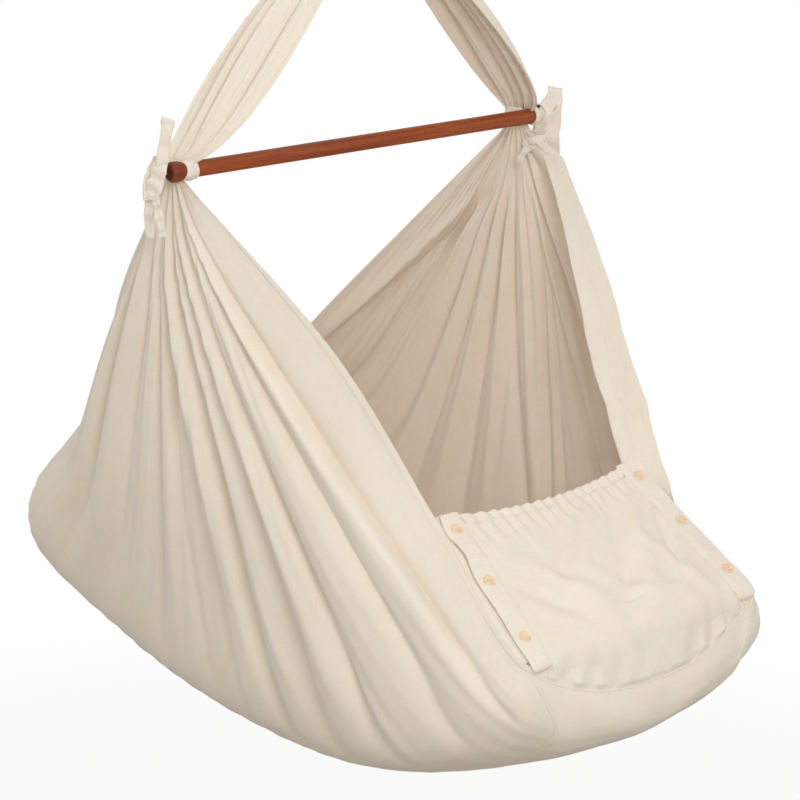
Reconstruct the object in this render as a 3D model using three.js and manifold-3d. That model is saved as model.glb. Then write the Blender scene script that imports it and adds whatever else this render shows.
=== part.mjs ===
// Hanging baby cradle: a gathered cotton hammock lashed to a wooden spreader bar, hung from a steel ring.
// Millimetres, +Z up, +X towards the foot end, Y along the bar. The origin is where a hook bears in the ring.
import * as THREE from 'three';
import { mergeVertices } from 'three/addons/utils/BufferGeometryUtils.js';
import Module from 'manifold-3d';

const wasm = await Module();
wasm.setup();

// Driving sizes of the frame
const ringRadius = 30;
const ringWireRadius = 3.5;
const barDrop = 355;
const barLength = 640;
const barRadius = 10;
const knobRadius = 13;
const knobLength = 20;

// Driving sizes of the cloth body
const headReach = 503;
const footReach = 493;
const cradleHalfWidth = 246;
const cradleDepth = 772;
const clothThickness = 3;
const sideBow = 26;
const endPull = 60;
const waistWidth = 32;
const waistSetback = 27;
const foldCount = 12;
const foldDepth = 10;
const waistFoldDepth = 4;

// Driving sizes of the foot flap and its buttons
const flapLength = 210;
const flapSlope = THREE.MathUtils.degToRad(34.3);
const hingeDrop = 513;
const flapTopHalfWidth = 171;
const flapLowHalfWidth = 194;
const flapTopSag = 20;
const gatherCount = 12;
const gatherDepth = 2.4;
const gatherReach = 60;
const placketWidth = 32;
const facingThickness = 2.5;
const casingHeight = 14;
const casingThickness = 6;
const elasticWidth = 8;
const elasticThickness = 1.6;
const buttonRadius = 7.5;
const buttonThickness = 3.2;
const buttonEyeRadius = 0.9;
const buttonShankRadius = 1.8;

// Driving sizes of the slings and the ties
const slingHalfWidth = 56;
const slingBow = 22;
const slingDrift = 16;
const slingFoldCount = 4;
const slingFoldDepth = 4;
const crownLeg = 24;
const crownHalfAngle = THREE.MathUtils.degToRad(23);
const crownClearance = 1;
const tieRadius = 3;
const tieStripWidth = 13;
const tieStripThickness = 2.4;
const tieEarLength = 52;
const tieTailLength = 72;
const tieKnotRadius = 11;

// Clearances
const seamGap = 0.4;
const seatGap = 0.3;

const UP = new THREE.Vector3(0, 0, 1);
const ALONG_BAR = new THREE.Vector3(0, 1, 0);

function vec(x, y, z) {
  return new THREE.Vector3(x, y, z);
}

function mix(a, b, share) {
  return a.clone().lerp(b, share);
}

function mirrored(point) {
  return vec(point.x, -point.y, point.z);
}

// Hermite ease between two values, level at both ends
function ease(value, from, to) {
  return THREE.MathUtils.smoothstep(value, from, to);
}

// Geometry mirrored in the plane through the ring and the middle of the flap
function mirroredGeometry(geometry) {
  const flipped = geometry.clone();
  flipped.scale(1, -1, 1);
  flipped.setIndex(Array.from(flipped.index.array).reverse());
  flipped.computeVertexNormals();
  return flipped;
}

// Closed geometry from a list of points and triangles, turned so that its faces point out
function solid(points, triangles) {
  let volume = 0;
  for (const [a, b, c] of triangles) {
    volume += points[a].dot(points[b].clone().cross(points[c]));
  }
  const geometry = new THREE.BufferGeometry();
  const flat = points.flatMap((point) => [point.x, point.y, point.z]);
  geometry.setAttribute('position', new THREE.Float32BufferAttribute(flat, 3));
  geometry.setIndex(triangles.flatMap(([a, b, c]) => (volume < 0 ? [a, c, b] : [a, b, c])));
  geometry.computeVertexNormals();
  return geometry;
}

// Sheet with thickness: two grids of points with the same rows and columns, joined round their edge
function sheet(outer, inner) {
  const rows = outer.length;
  const columns = outer[0].length;
  const points = [...outer.flat(), ...inner.flat()];
  const half = rows * columns;
  const at = (row, column, side) => side * half + row * columns + column;
  const triangles = [];
  const quad = (a, b, c, d) => triangles.push([a, b, c], [a, c, d]);
  for (let i = 0; i + 1 < rows; i += 1) {
    for (let j = 0; j + 1 < columns; j += 1) {
      quad(at(i, j, 0), at(i + 1, j, 0), at(i + 1, j + 1, 0), at(i, j + 1, 0));
      quad(at(i, j, 1), at(i, j + 1, 1), at(i + 1, j + 1, 1), at(i + 1, j, 1));
    }
  }
  for (let j = 0; j + 1 < columns; j += 1) {
    quad(at(0, j, 0), at(0, j + 1, 0), at(0, j + 1, 1), at(0, j, 1));
    quad(at(rows - 1, j, 0), at(rows - 1, j, 1), at(rows - 1, j + 1, 1), at(rows - 1, j + 1, 0));
  }
  for (let i = 0; i + 1 < rows; i += 1) {
    quad(at(i, 0, 0), at(i, 0, 1), at(i + 1, 0, 1), at(i + 1, 0, 0));
    quad(at(i, columns - 1, 0), at(i + 1, columns - 1, 0), at(i + 1, columns - 1, 1), at(i, columns - 1, 1));
  }
  return solid(points, triangles);
}

// Loft through closed sections with as many points each, capped at both ends
function loft(sections) {
  const count = sections[0].length;
  const points = sections.flat();
  const triangles = [];
  for (let i = 0; i + 1 < sections.length; i += 1) {
    for (let j = 0; j < count; j += 1) {
      const a = i * count + j;
      const b = i * count + ((j + 1) % count);
      triangles.push([a, b, b + count], [a, b + count, a + count]);
    }
  }
  const last = (sections.length - 1) * count;
  for (let j = 1; j + 1 < count; j += 1) {
    triangles.push([0, j + 1, j], [last, last + j, last + j + 1]);
  }
  return solid(points, triangles);
}

// Loft with a bore: the outer and the bore sections have as many points each
function boredLoft(outerSections, boreSections) {
  const count = outerSections[0].length;
  const rows = outerSections.length;
  const half = rows * count;
  const points = [...outerSections.flat(), ...boreSections.flat()];
  const triangles = [];
  for (let j = 0; j < count; j += 1) {
    const next = (j + 1) % count;
    for (let i = 0; i + 1 < rows; i += 1) {
      const a = i * count + j;
      const b = i * count + next;
      triangles.push([a, b, b + count], [a, b + count, a + count]);
      const c = half + a;
      const d = half + b;
      triangles.push([c, d + count, d], [c, c + count, d + count]);
    }
    triangles.push([j, half + next, next], [j, half + j, half + next]);
    const end = (rows - 1) * count;
    const inner = half + end;
    triangles.push([end + j, end + next, inner + next], [end + j, inner + next, inner + j]);
  }
  return solid(points, triangles);
}

// Round or flat strip swept along points: its wide side starts along a direction and turns with the path
function strip(path, wide, width, thickness, sides) {
  const reach = sides === 4 ? Math.SQRT2 : 1;
  let across = wide;
  const sections = path.map((point, index) => {
    const before = path[Math.max(index - 1, 0)];
    const after = path[Math.min(index + 1, path.length - 1)];
    const tangent = after.clone().sub(before).normalize();
    across = across.clone().addScaledVector(tangent, -across.dot(tangent)).normalize();
    const lift = tangent.clone().cross(across);
    const section = [];
    for (let side = 0; side < sides; side += 1) {
      const angle = ((side + 0.5) / sides) * Math.PI * 2;
      section.push(
        point
          .clone()
          .addScaledVector(across, (width / 2) * reach * Math.cos(angle))
          .addScaledVector(lift, (thickness / 2) * reach * Math.sin(angle)),
      );
    }
    return section;
  });
  return loft(sections);
}

// Solid for a boolean, from a closed geometry
function toManifold(geometry) {
  const bare = geometry.clone();
  bare.deleteAttribute('normal');
  bare.deleteAttribute('uv');
  const merged = mergeVertices(bare);
  const mesh = new wasm.Mesh({
    numProp: 3,
    vertProperties: new Float32Array(merged.attributes.position.array),
    triVerts: new Uint32Array(merged.index.array),
  });
  return new wasm.Manifold(mesh);
}

function fromManifold(body) {
  const mesh = body.getMesh();
  const geometry = new THREE.BufferGeometry();
  geometry.setAttribute('position', new THREE.BufferAttribute(new Float32Array(mesh.vertProperties), 3));
  geometry.setIndex(new THREE.BufferAttribute(new Uint32Array(mesh.triVerts), 1));
  geometry.computeVertexNormals();
  return geometry;
}

function joined(geometries) {
  return fromManifold(geometries.map(toManifold).reduce((whole, next) => whole.add(next)));
}

function cut(geometry, cutters) {
  const whole = toManifold(geometry);
  return fromManifold(cutters.map(toManifold).reduce((rest, next) => rest.subtract(next), whole));
}

// Materials
const cotton = new THREE.MeshStandardMaterial({ color: 0xeee4d2, roughness: 0.92, metalness: 0 });
const cottonTrim = new THREE.MeshStandardMaterial({ color: 0xf1e8d8, roughness: 0.9, metalness: 0 });
const stainedWood = new THREE.MeshStandardMaterial({ color: 0x8f4522, roughness: 0.5, metalness: 0 });
const steel = new THREE.MeshStandardMaterial({ color: 0xb9bcc0, roughness: 0.3, metalness: 1 });
const resin = new THREE.MeshStandardMaterial({ color: 0xf0d9b5, roughness: 0.35, metalness: 0 });
const rubber = new THREE.MeshStandardMaterial({ color: 0xe9e6de, roughness: 0.8, metalness: 0 });

const cradle = new THREE.Group();
const footFlap = new THREE.Group();
cradle.add(footFlap);

function place(group, name, geometry, material) {
  const mesh = new THREE.Mesh(geometry, material);
  mesh.name = name;
  group.add(mesh);
  return mesh;
}

// Flap frame: alongFlap runs from the hinge to the gathered edge, outOfFlap away from the cradle
const alongFlap = vec(-Math.cos(flapSlope), 0, Math.sin(flapSlope));
const outOfFlap = vec(Math.sin(flapSlope), 0, Math.cos(flapSlope));
const hinge = vec(footReach, 0, -barDrop - hingeDrop);
const underFlap = clothThickness + seatGap;

function flapPoint(along, across, out) {
  const point = hinge.clone().addScaledVector(alongFlap, along).addScaledVector(outOfFlap, out);
  point.y = across;
  return point;
}

function flapHalfWidth(along) {
  return THREE.MathUtils.mapLinear(along, 0, flapLength, flapLowHalfWidth, flapTopHalfWidth);
}

// Where the cloth is gathered at the bar's near end: just inboard of the knob and of one turn of the tie
const tieTurnOut = barLength / 2 - knobLength - tieRadius - seatGap;
const waistY = -(tieTurnOut - tieRadius - seatGap - waistFoldDepth);
const tieTurnIn = -waistY - waistFoldDepth - clothThickness - seatGap - tieRadius;
const neckDrop = barRadius + waistFoldDepth;

// Stations of the cloth body from the head hem to the foot hem, as shares of the reaches, the half width,
// the depth, the bow and the end pull: the rim, the keel, and the pull on the side at its middle and low down
const stationShares = [
  { rim: [-0.78, 0.51, 0.55], keel: [-0.81, 0.57], mid: [-0.29, 0.63, 0.03], low: [-0.18, 0.24, 0.07] },
  { rim: [-0.94, 0.82, 0.67], keel: [-1, 0.71], mid: [0.42, 0.37, 0], low: [0.8, 0.32, 0] },
  { rim: [-0.89, 0.93, 0.78], keel: [-0.93, 0.84], mid: [0.52, 0.92, 0], low: [0.81, 0.97, 0] },
  { rim: [-0.57, 0.89, 0.87], keel: [-0.63, 0.95], mid: [0.5, 1, 0], low: [0.67, 0.93, 0] },
  { rim: [-0.16, 0.91, 0.92], keel: [-0.19, 1], mid: [0.17, 1, 0], low: [0.19, 0.95, 0] },
  { rim: [0.29, 0.91, 0.92], keel: [0.28, 1.01], mid: [-0.13, 1, 0], low: [-0.18, 0.96, 0] },
  { rim: [0.67, 0.96, 0.86], keel: [0.72, 0.93], mid: [-0.4, 1.05, 0], low: [-0.57, 0.86, 0] },
  { rim: [0.97, 0.88, 0.75], keel: [1.03, 0.82], mid: [-0.58, 0.88, 0], low: [-0.97, 0.49, 0] },
];
const footHemMidShares = [0.18, -0.57, 0.36];
const midShare = 0.42;
const lowShare = 0.76;
const turnShares = [0.6, 0.72, 0.66];

function reachX(share) {
  return share * (share < 0 ? headReach : footReach);
}

function pullOf([x, y, z]) {
  return vec(x * endPull, -y * sideBow, z * endPull);
}

// The foot hem ends at the flap's lower corner and passes under its upper corner
const footCorner = flapPoint(0, -flapLowHalfWidth, -underFlap);
const flapCorner = flapPoint(flapLength, -flapTopHalfWidth, -underFlap);
const footKeel = flapPoint(0, 0, -underFlap);

function neckPoint(fan) {
  return vec(-waistSetback + (fan - 0.5) * waistWidth, waistY, -barDrop - neckDrop);
}

function smoothThrough(points) {
  return new THREE.CatmullRomCurve3(points, false, 'catmullrom', 0.5);
}

function stationPoint(reachShare, widthShare, depthShare) {
  return vec(reachX(reachShare), -widthShare * cradleHalfWidth, -barDrop - depthShare * cradleDepth);
}

const rimCurve = smoothThrough([...stationShares.map(({ rim }) => stationPoint(...rim)), footCorner]);
const keelCurve = smoothThrough([
  ...stationShares.map(({ keel }) => stationPoint(keel[0], 0, keel[1])),
  footKeel,
]);
const midPullCurve = smoothThrough([
  ...stationShares.map(({ mid }) => pullOf(mid)),
  pullOf(footHemMidShares),
]);
const lowPullCurve = smoothThrough([
  ...stationShares.map(({ low }) => pullOf(low)),
  flapCorner.clone().sub(mix(neckPoint(1), footCorner, lowShare)),
]);

// One line of the cloth from the waist at the bar (0) by the middle (1) and the low side (2) to the rim (3)
// and on under the cradle to its keel (5), for a place in the fan from the head hem (0) to the foot hem (1)
const rimStep = 3;
const keelStep = 5;

function clothLine(fan) {
  const share = THREE.MathUtils.clamp(fan, 0, 1);
  const neck = neckPoint(fan);
  const rim = rimCurve.getPoint(share);
  const keel = keelCurve.getPoint(share);
  const middle = mix(neck, rim, midShare).add(midPullCurve.getPoint(share));
  const low = mix(neck, rim, lowShare).add(lowPullCurve.getPoint(share));
  const turn = vec(
    THREE.MathUtils.lerp(rim.x, keel.x, turnShares[0]),
    rim.y * turnShares[1],
    THREE.MathUtils.lerp(rim.z, keel.z, turnShares[2]),
  );
  const points = [neck, middle, low, rim, turn, keel, mirrored(turn)];
  return new THREE.CatmullRomCurve3(points, false, 'centripetal');
}

function clothPoint(line, step) {
  return line.getPoint(step / (keelStep + 1));
}

// Outward direction of the unfolded cloth, from short steps along and across its lines
const probe = 0.004;

function clothNormal(fan, step) {
  const before = clothLine(Math.max(fan - probe, 0));
  const after = clothLine(Math.min(fan + probe, 1));
  const low = Math.max(step - probe, 0);
  const here = clothLine(fan);
  const across = clothPoint(after, step).sub(clothPoint(before, step));
  const down = clothPoint(here, step + probe).sub(clothPoint(here, low));
  return across.cross(down).normalize().negate();
}

// Radial folds: shallow at the waist, deepest at their full step, and gone where they end under the cradle
const foldFullStep = 0.7;
const foldFadeStep = 1.2;
const foldEndStep = 4;
const hemShare = 0.03;
const foldSwayShare = 0.22;
const foldSways = 1.5;

function foldHeight(fan, step) {
  const opening = ease(step, 0, foldFullStep) * (1 - ease(step, foldFadeStep, foldEndStep));
  const depth = waistFoldDepth * (1 - opening) * (1 - ease(step, 0, rimStep)) + foldDepth * opening;
  const hemEase = ease(fan, 0, hemShare) * (1 - ease(fan, 1 - hemShare, 1));
  const phase = foldCount * fan + foldSwayShare * Math.sin(2 * Math.PI * foldSways * fan);
  return depth * hemEase * Math.cos(2 * Math.PI * phase);
}

// Where each line passes from the side panel to the panels below it
const seamShares = [
  [0, 0],
  [0.125, 0.3],
  [0.22, 0.3],
  [0.62, 0.3],
  [0.79, 0.6],
  [0.9, 0.45],
  [1, 0],
];

function seamStep(fan) {
  const index = Math.max(seamShares.findIndex(([at]) => at >= fan), 1);
  const [fromFan, fromShare] = seamShares[index - 1];
  const [toFan, toShare] = seamShares[index];
  const share = THREE.MathUtils.mapLinear(fan, fromFan, toFan, fromShare, toShare);
  return THREE.MathUtils.lerp(rimStep, keelStep, share);
}

// Grids of the cloth's two faces for a table of fan places and a row function, with seam gaps at the edges
function clothGrid(fans, stepsOf, edgeShift) {
  const outer = [];
  const inner = [];
  for (const fan of fans) {
    const line = clothLine(fan);
    const steps = stepsOf(fan);
    const outerRow = [];
    const innerRow = [];
    steps.forEach((step, index) => {
      const normal = step <= 0 ? vec(0, -1, 0) : clothNormal(fan, step);
      const point = clothPoint(line, Math.max(step, 0)).addScaledVector(normal, foldHeight(fan, step));
      point.add(edgeShift(fan, step, index, steps.length));
      outerRow.push(point);
      innerRow.push(point.clone().addScaledVector(normal, -clothThickness));
    });
    outer.push(outerRow);
    inner.push(innerRow);
  }
  return { outer, inner };
}

// Direction along the cloth, for moving an edge back from its seam
function alongLine(fan, step) {
  const line = clothLine(fan);
  return clothPoint(line, step + probe).sub(clothPoint(line, step - probe)).normalize();
}

function acrossLines(fan, step) {
  const after = clothLine(Math.min(fan + probe, 1));
  const before = clothLine(Math.max(fan - probe, 0));
  return clothPoint(after, step).sub(clothPoint(before, step)).normalize();
}

const fanCount = 48;
const headSeam = 6 / fanCount;
const gussetSeam = 38 / fanCount;
const sideRows = 9;
const underRows = 5;

function range(from, to, count) {
  return Array.from({ length: count + 1 }, (_, index) => THREE.MathUtils.lerp(from, to, index / count));
}

// Side panel with a straight neck behind the bar
function sidePanelGrid() {
  const fans = range(0, 1, fanCount);
  const grid = clothGrid(
    fans,
    (fan) => range(0, seamStep(fan), sideRows),
    (fan, step, index, count) => {
      const atSeam = index === count - 1;
      return atSeam ? alongLine(fan, step).multiplyScalar(-seamGap / 2) : vec(0, 0, 0);
    },
  );
  for (const rows of [grid.outer, grid.inner]) {
    for (const row of rows) {
      row.unshift(row[0].clone().addScaledVector(UP, neckDrop - seatGap / 2));
    }
  }
  return grid;
}

// Lower panel from the near seam to the far seam, between two fan places
function lowerPanelGrid(fromFan, toFan, gapAtStart, gapAtEnd) {
  const fans = range(fromFan, toFan, Math.round((toFan - fromFan) * fanCount));
  const near = clothGrid(
    fans,
    (fan) => range(seamStep(fan), keelStep, underRows),
    (fan, step, index) => {
      const shift = index === 0 ? alongLine(fan, step).multiplyScalar(seamGap / 2) : vec(0, 0, 0);
      if (gapAtStart && fan === fans[0]) {
        shift.addScaledVector(acrossLines(fan, step), seamGap / 2);
      }
      if (gapAtEnd && fan === fans[fans.length - 1]) {
        shift.addScaledVector(acrossLines(fan, step), -seamGap / 2);
      }
      return shift;
    },
  );
  const whole = (rows) => rows.map((row) => [...row, ...row.slice(0, -1).reverse().map(mirrored)]);
  return { outer: whole(near.outer), inner: whole(near.inner) };
}

function mirroredGrid({ outer, inner }) {
  const flip = (rows) => rows.map((row) => row.map(mirrored));
  return { outer: flip(outer), inner: flip(inner) };
}

function addClothBody() {
  const near = sidePanelGrid();
  const far = mirroredGrid(near);
  const head = lowerPanelGrid(0, headSeam, false, true);
  const base = lowerPanelGrid(headSeam, gussetSeam, true, true);
  const gusset = lowerPanelGrid(gussetSeam, 1, true, false);
  place(cradle, 'side_panel_near', sheet(near.outer, near.inner), cotton);
  place(cradle, 'side_panel_far', sheet(far.outer, far.inner), cotton);
  place(cradle, 'head_end_panel', sheet(head.outer, head.inner), cotton);
  place(cradle, 'base_panel', sheet(base.outer, base.inner), cotton);
  place(cradle, 'foot_gusset', sheet(gusset.outer, gusset.inner), cotton);
}

// Spreader bar, turned with a knob at each end
const knobFaceShare = 0.54;
const knobShoulderShare = 0.94;
const turnedSides = 20;

function addSpreaderBar() {
  const half = barLength / 2;
  const knobStart = half - knobLength;
  const chamfer = knobRadius - barRadius;
  const profile = [
    [0, half],
    [knobRadius * knobFaceShare, half],
    [knobRadius * knobShoulderShare, half - chamfer],
    [knobRadius, half - knobLength / 2],
    [knobRadius * knobShoulderShare, knobStart + chamfer],
    [barRadius, knobStart],
  ];
  const turned = [...profile.map(([radius, along]) => [radius, -along]), ...profile.reverse()];
  const outline = turned.map(([radius, along]) => new THREE.Vector2(radius, along));
  const geometry = new THREE.LatheGeometry(outline, turnedSides);
  const mesh = place(cradle, 'spreader_bar', geometry, stainedWood);
  mesh.position.z = -barDrop;
}

// Steel ring whose bore runs along the bar; the hook bears inside its top
const ringCentre = vec(0, 0, ringWireRadius - ringRadius);
const wireSides = 8;
const ringSteps = 28;

function addHangingRing() {
  const geometry = new THREE.TorusGeometry(ringRadius, ringWireRadius, wireSides, ringSteps);
  const mesh = place(cradle, 'hanging_ring', geometry, steel);
  mesh.position.copy(ringCentre);
  mesh.rotation.x = Math.PI / 2;
}

// Crown: the slings' doubled top, folded over the ring's lower wire
const wireDrop = ringRadius - ringWireRadius + ringRadius;
const slingRun = -waistY;
const slingRise = barDrop - wireDrop;
const slingLean = Math.atan2(slingRun, slingRise);
const crownInnerRadius = ringWireRadius + crownClearance;
const crownSink = crownClearance - seatGap;

function crownPoint(angle, along, radius) {
  const bend = Math.PI / 2 - slingLean;
  const turn = THREE.MathUtils.clamp(along, -bend * radius, bend * radius) / radius;
  const leg = along - turn * radius;
  const across = Math.sin(turn) * radius + Math.cos(turn) * leg;
  const height = Math.cos(turn) * radius - Math.sin(turn) * leg - crownSink;
  const reach = ringRadius - height;
  return ringCentre.clone().add(vec(Math.sin(angle) * reach, across, -Math.cos(angle) * reach));
}

const crownColumns = 8;
const crownBendSteps = 6;

function crownRows(radius) {
  const bendLength = (Math.PI / 2 - slingLean) * radius;
  const bend = range(-bendLength, bendLength, crownBendSteps);
  const stops = [-bendLength - crownLeg, ...bend, bendLength + crownLeg];
  const sides = range(-crownHalfAngle, crownHalfAngle, crownColumns);
  return stops.map((along) => sides.map((angle) => crownPoint(angle, along, radius)));
}

function addCrown() {
  const outer = crownRows(crownInnerRadius + clothThickness);
  const inner = crownRows(crownInnerRadius);
  place(cradle, 'sling_crown', sheet(outer, inner), cottonTrim);
}

// Sling: a gathered ribbon from the waist, upright as far as the tie's turns reach, and on up to the crown
const slingSteps = 10;
const slingWaistRise = barRadius + 2 * tieRadius + 2 * seatGap;
const slingWaistFoldShare = 0.25;
const slingOpenPower = 0.62;
const slingFullPower = 0.8;

function slingFold(side, step) {
  return slingFoldDepth * Math.sin(Math.PI * step) * Math.cos(2 * Math.PI * slingFoldCount * side);
}

function slingGrid() {
  const crownOuter = crownRows(crownInnerRadius + clothThickness)[0];
  const crownInner = crownRows(crownInnerRadius)[0];
  const away = vec(0, -Math.sin(slingLean), -Math.cos(slingLean));
  const face = vec(0, -Math.cos(slingLean), Math.sin(slingLean));
  const outer = [];
  const inner = [];
  const slingColumns = 3 * slingFoldCount;
  range(0, 1, slingColumns).forEach((side) => {
    const edge = 2 * side - 1;
    const crownAt = side * crownColumns;
    const seat = Math.min(Math.floor(crownAt), crownColumns - 1);
    const onCrown = (row) => mix(row[seat], row[seat + 1], crownAt - seat).addScaledVector(away, seamGap);
    const top = onCrown(crownOuter);
    const topInner = onCrown(crownInner);
    const waist = neckPoint(side);
    waist.z = -barDrop + slingWaistRise;
    waist.y += slingFold(side, slingWaistFoldShare);
    const waistInner = waist.clone().addScaledVector(ALONG_BAR, clothThickness);
    const outerRow = [];
    const innerRow = [];
    for (const step of range(0, 1, slingSteps)) {
      const open = Math.max(Math.sin(Math.PI * step ** slingOpenPower), 0) ** slingFullPower;
      const spread = vec(edge * (slingHalfWidth - waistWidth / 2) * open, 0, 0);
      const swell = slingBow * (1 - edge * edge) * Math.sin(Math.PI * step) + slingFold(side, step);
      const drift = slingDrift * Math.sin(Math.PI * Math.sqrt(step));
      const shift = spread.addScaledVector(face, swell).add(vec(drift, 0, 0));
      outerRow.push(mix(waist, top, step).add(shift));
      innerRow.push(mix(waistInner, topInner, step).add(shift));
    }
    outerRow.unshift(outerRow[0].clone().addScaledVector(UP, seatGap / 2 - slingWaistRise));
    innerRow.unshift(innerRow[0].clone().addScaledVector(UP, seatGap / 2 - slingWaistRise));
    outer.push(outerRow);
    inner.push(innerRow);
  });
  return { outer, inner };
}

function addSlings() {
  const near = slingGrid();
  const far = mirroredGrid(near);
  place(cradle, 'sling_near', sheet(near.outer, near.inner), cotton);
  place(cradle, 'sling_far', sheet(far.outer, far.inner), cotton);
}

// Tie: a cotton strip that turns round the bar on both sides of the waist and is knotted outboard of it
const tieSides = 6;
const tieSteps = 40;

function tiePath() {
  const turn = barRadius + tieRadius + seatGap;
  const back = -waistSetback - waistWidth / 2 - tieRadius - 2 * seatGap;
  const start = tieTurnOut;
  const flank = -waistSetback;
  const level = tieRadius + 2 * seatGap;
  const quarter = Math.PI / 2;
  const points = [];
  const arc = (y, fromAngle, toAngle) => {
    for (const angle of range(fromAngle, toAngle, 4)) {
      points.push(vec(turn * Math.cos(angle), -y, turn * Math.sin(angle)));
    }
  };
  points.push(vec(flank, -start, -level * 2));
  arc(start, -quarter, quarter);
  points.push(vec(flank, -start, level * 2));
  points.push(vec(back, -start, level));
  points.push(vec(back - tieRadius / 2, waistY, level));
  points.push(vec(back, -tieTurnIn, level));
  points.push(vec(flank, -tieTurnIn, level * 2));
  arc(tieTurnIn, quarter, -quarter);
  points.push(vec(flank, -tieTurnIn, -level * 2));
  points.push(vec(back, -tieTurnIn, -level));
  points.push(vec(back - tieRadius / 2, waistY, -level));
  points.push(vec(back, -start, -level));
  return points;
}

// The ear's and the tails' points from the knot, as shares of the strip's width and of their own lengths
const knotPlace = vec(-waistSetback - tieRadius, -tieTurnOut - tieKnotRadius, -tieKnotRadius);
const knotFlatShare = 0.8;
const stripLay = vec(1, 0.3, 0).normalize();
const earShares = [
  [0, 0, 0],
  [0, -0.5, 0.55],
  [0.33, -0.25, 1],
  [0.7, 0.2, 0.55],
  [0.25, 0, 0],
];
const tailShares = [
  [0, 0, 0],
  [0.5, -0.7, 0.35],
  [0.9, -0.85, 1],
];
const tailUnevenShare = 0.1;
const earSteps = 14;
const tailSteps = 6;
const knotSides = 14;

function knotStrip(shares, side, length, steps) {
  const size = vec(side * tieStripWidth, tieStripWidth, length);
  const points = shares.map((share) => vec(...share).multiply(size).add(knotPlace));
  const path = new THREE.CatmullRomCurve3(points).getPoints(steps);
  return strip(path, stripLay, tieStripWidth, tieStripThickness, 4);
}

function tieGeometry() {
  const turns = new THREE.CatmullRomCurve3(tiePath(), false, 'centripetal').getPoints(tieSteps);
  const cord = (path) => strip(path, UP, 2 * tieRadius, 2 * tieRadius, tieSides);
  const ends = [turns[0], turns[turns.length - 1]].map((end) => {
    return cord([end, mix(end, knotPlace, 0.5), knotPlace]);
  });
  const knot = new THREE.SphereGeometry(tieKnotRadius, knotSides, knotSides / 2);
  knot.scale(1, knotFlatShare, 1);
  knot.translate(knotPlace.x, knotPlace.y, knotPlace.z);
  const ear = knotStrip(earShares, 1, tieEarLength, earSteps);
  const tails = [-1, 1].map((side) => {
    const length = tieTailLength * (1 - side * tailUnevenShare);
    return knotStrip(tailShares, side, -length, tailSteps);
  });
  return joined([cord(turns), ...ends, knot, ear, ...tails]);
}

function addTies() {
  const near = tieGeometry();
  for (const [name, geometry] of [['bar_tie_near', near], ['bar_tie_far', mirroredGeometry(near)]]) {
    const mesh = place(cradle, name, geometry, cottonTrim);
    mesh.position.z = -barDrop;
  }
}

// Facing: the turned front hem that carries the buttons under the flap's edge
const flapRows = 6;

function facingGrid() {
  const outer = [];
  const inner = [];
  for (const along of range(clothThickness + 2 * seamGap, flapLength + casingHeight, flapRows)) {
    const edge = -flapHalfWidth(along);
    const rowAcross = [edge + seamGap + facingThickness, edge + placketWidth / 2, edge + placketWidth];
    outer.push(rowAcross.map((across) => flapPoint(along, across, -underFlap)));
    inner.push(rowAcross.map((across) => flapPoint(along, across, -underFlap - facingThickness)));
  }
  return { outer, inner };
}

// Placket: the doubled side edge of the flap, with a buttonhole at each button
const buttonAlongShares = [0.16, 0.56, 0.94];
const buttonInsetShare = 0.47;
const shankSlotHalfLength = buttonShankRadius * 2;
const shankSlotHalfWidth = buttonShankRadius + seamGap;

function buttonPlace(share) {
  const along = share * flapLength;
  return { along, across: -flapHalfWidth(along) + buttonInsetShare * placketWidth };
}

function placketGeometry() {
  const rows = range(seamGap, flapLength + casingHeight, flapRows);
  const ends = rows.map((along) => {
    const edge = -flapHalfWidth(along);
    return [edge, edge + placketWidth];
  });
  const rowAt = (row, out) => ends[row].map((across) => flapPoint(rows[row], across, out));
  const face = (out) => rows.map((along, row) => rowAt(row, out));
  const slots = buttonAlongShares.map((share) => {
    const { along, across } = buttonPlace(share);
    const corner = (a, b, out) =>
      flapPoint(along + a * shankSlotHalfWidth, across + b * shankSlotHalfLength, out * 2 * clothThickness);
    const ring = [
      [-1, -1],
      [1, -1],
      [1, 1],
      [-1, 1],
    ];
    return loft([1, -1].map((out) => ring.map(([a, b]) => corner(a, b, out))));
  });
  return cut(sheet(face(0), face(-clothThickness)), slots);
}

// Gathered edge of the flap: it sags towards the hinge in the middle
function gatheredEdge(across) {
  const share = across / flapTopHalfWidth;
  return flapLength - flapTopSag * (1 - share * share);
}

// Small gathers that run in from the edge, between the flap's flat sides
const gatherFullShare = 0.85;

function gatherHeight(across, along) {
  const span = flapTopHalfWidth - placketWidth;
  const fade = ease(along, gatheredEdge(across) - gatherReach, gatheredEdge(across));
  const ends = 1 - ease(Math.abs(across), span * gatherFullShare, span);
  return (gatherDepth * fade * ends * (Math.cos((Math.PI * gatherCount * across) / span) - 1)) / 2;
}

function flapInnerHalf(along) {
  return flapHalfWidth(along) - placketWidth - seamGap;
}

function flapPanelGrid() {
  const outer = [];
  const inner = [];
  for (const share of range(0, 1, flapRows)) {
    const outerRow = [];
    const innerRow = [];
    for (const side of range(-1, 1, 2 * gatherCount)) {
      const topAcross = side * flapInnerHalf(flapLength);
      const along = THREE.MathUtils.lerp(seamGap, gatheredEdge(topAcross) - seamGap, share);
      const across = side * flapInnerHalf(along);
      const height = gatherHeight(topAcross, along);
      outerRow.push(flapPoint(along, across, height));
      innerRow.push(flapPoint(along, across, height - clothThickness));
    }
    outer.push(outerRow);
    inner.push(innerRow);
  }
  return { outer, inner };
}

// Casing along the gathered edge, puckered between the gathers, with the elastic in its bore
const puckerShare = 0.18;

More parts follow.
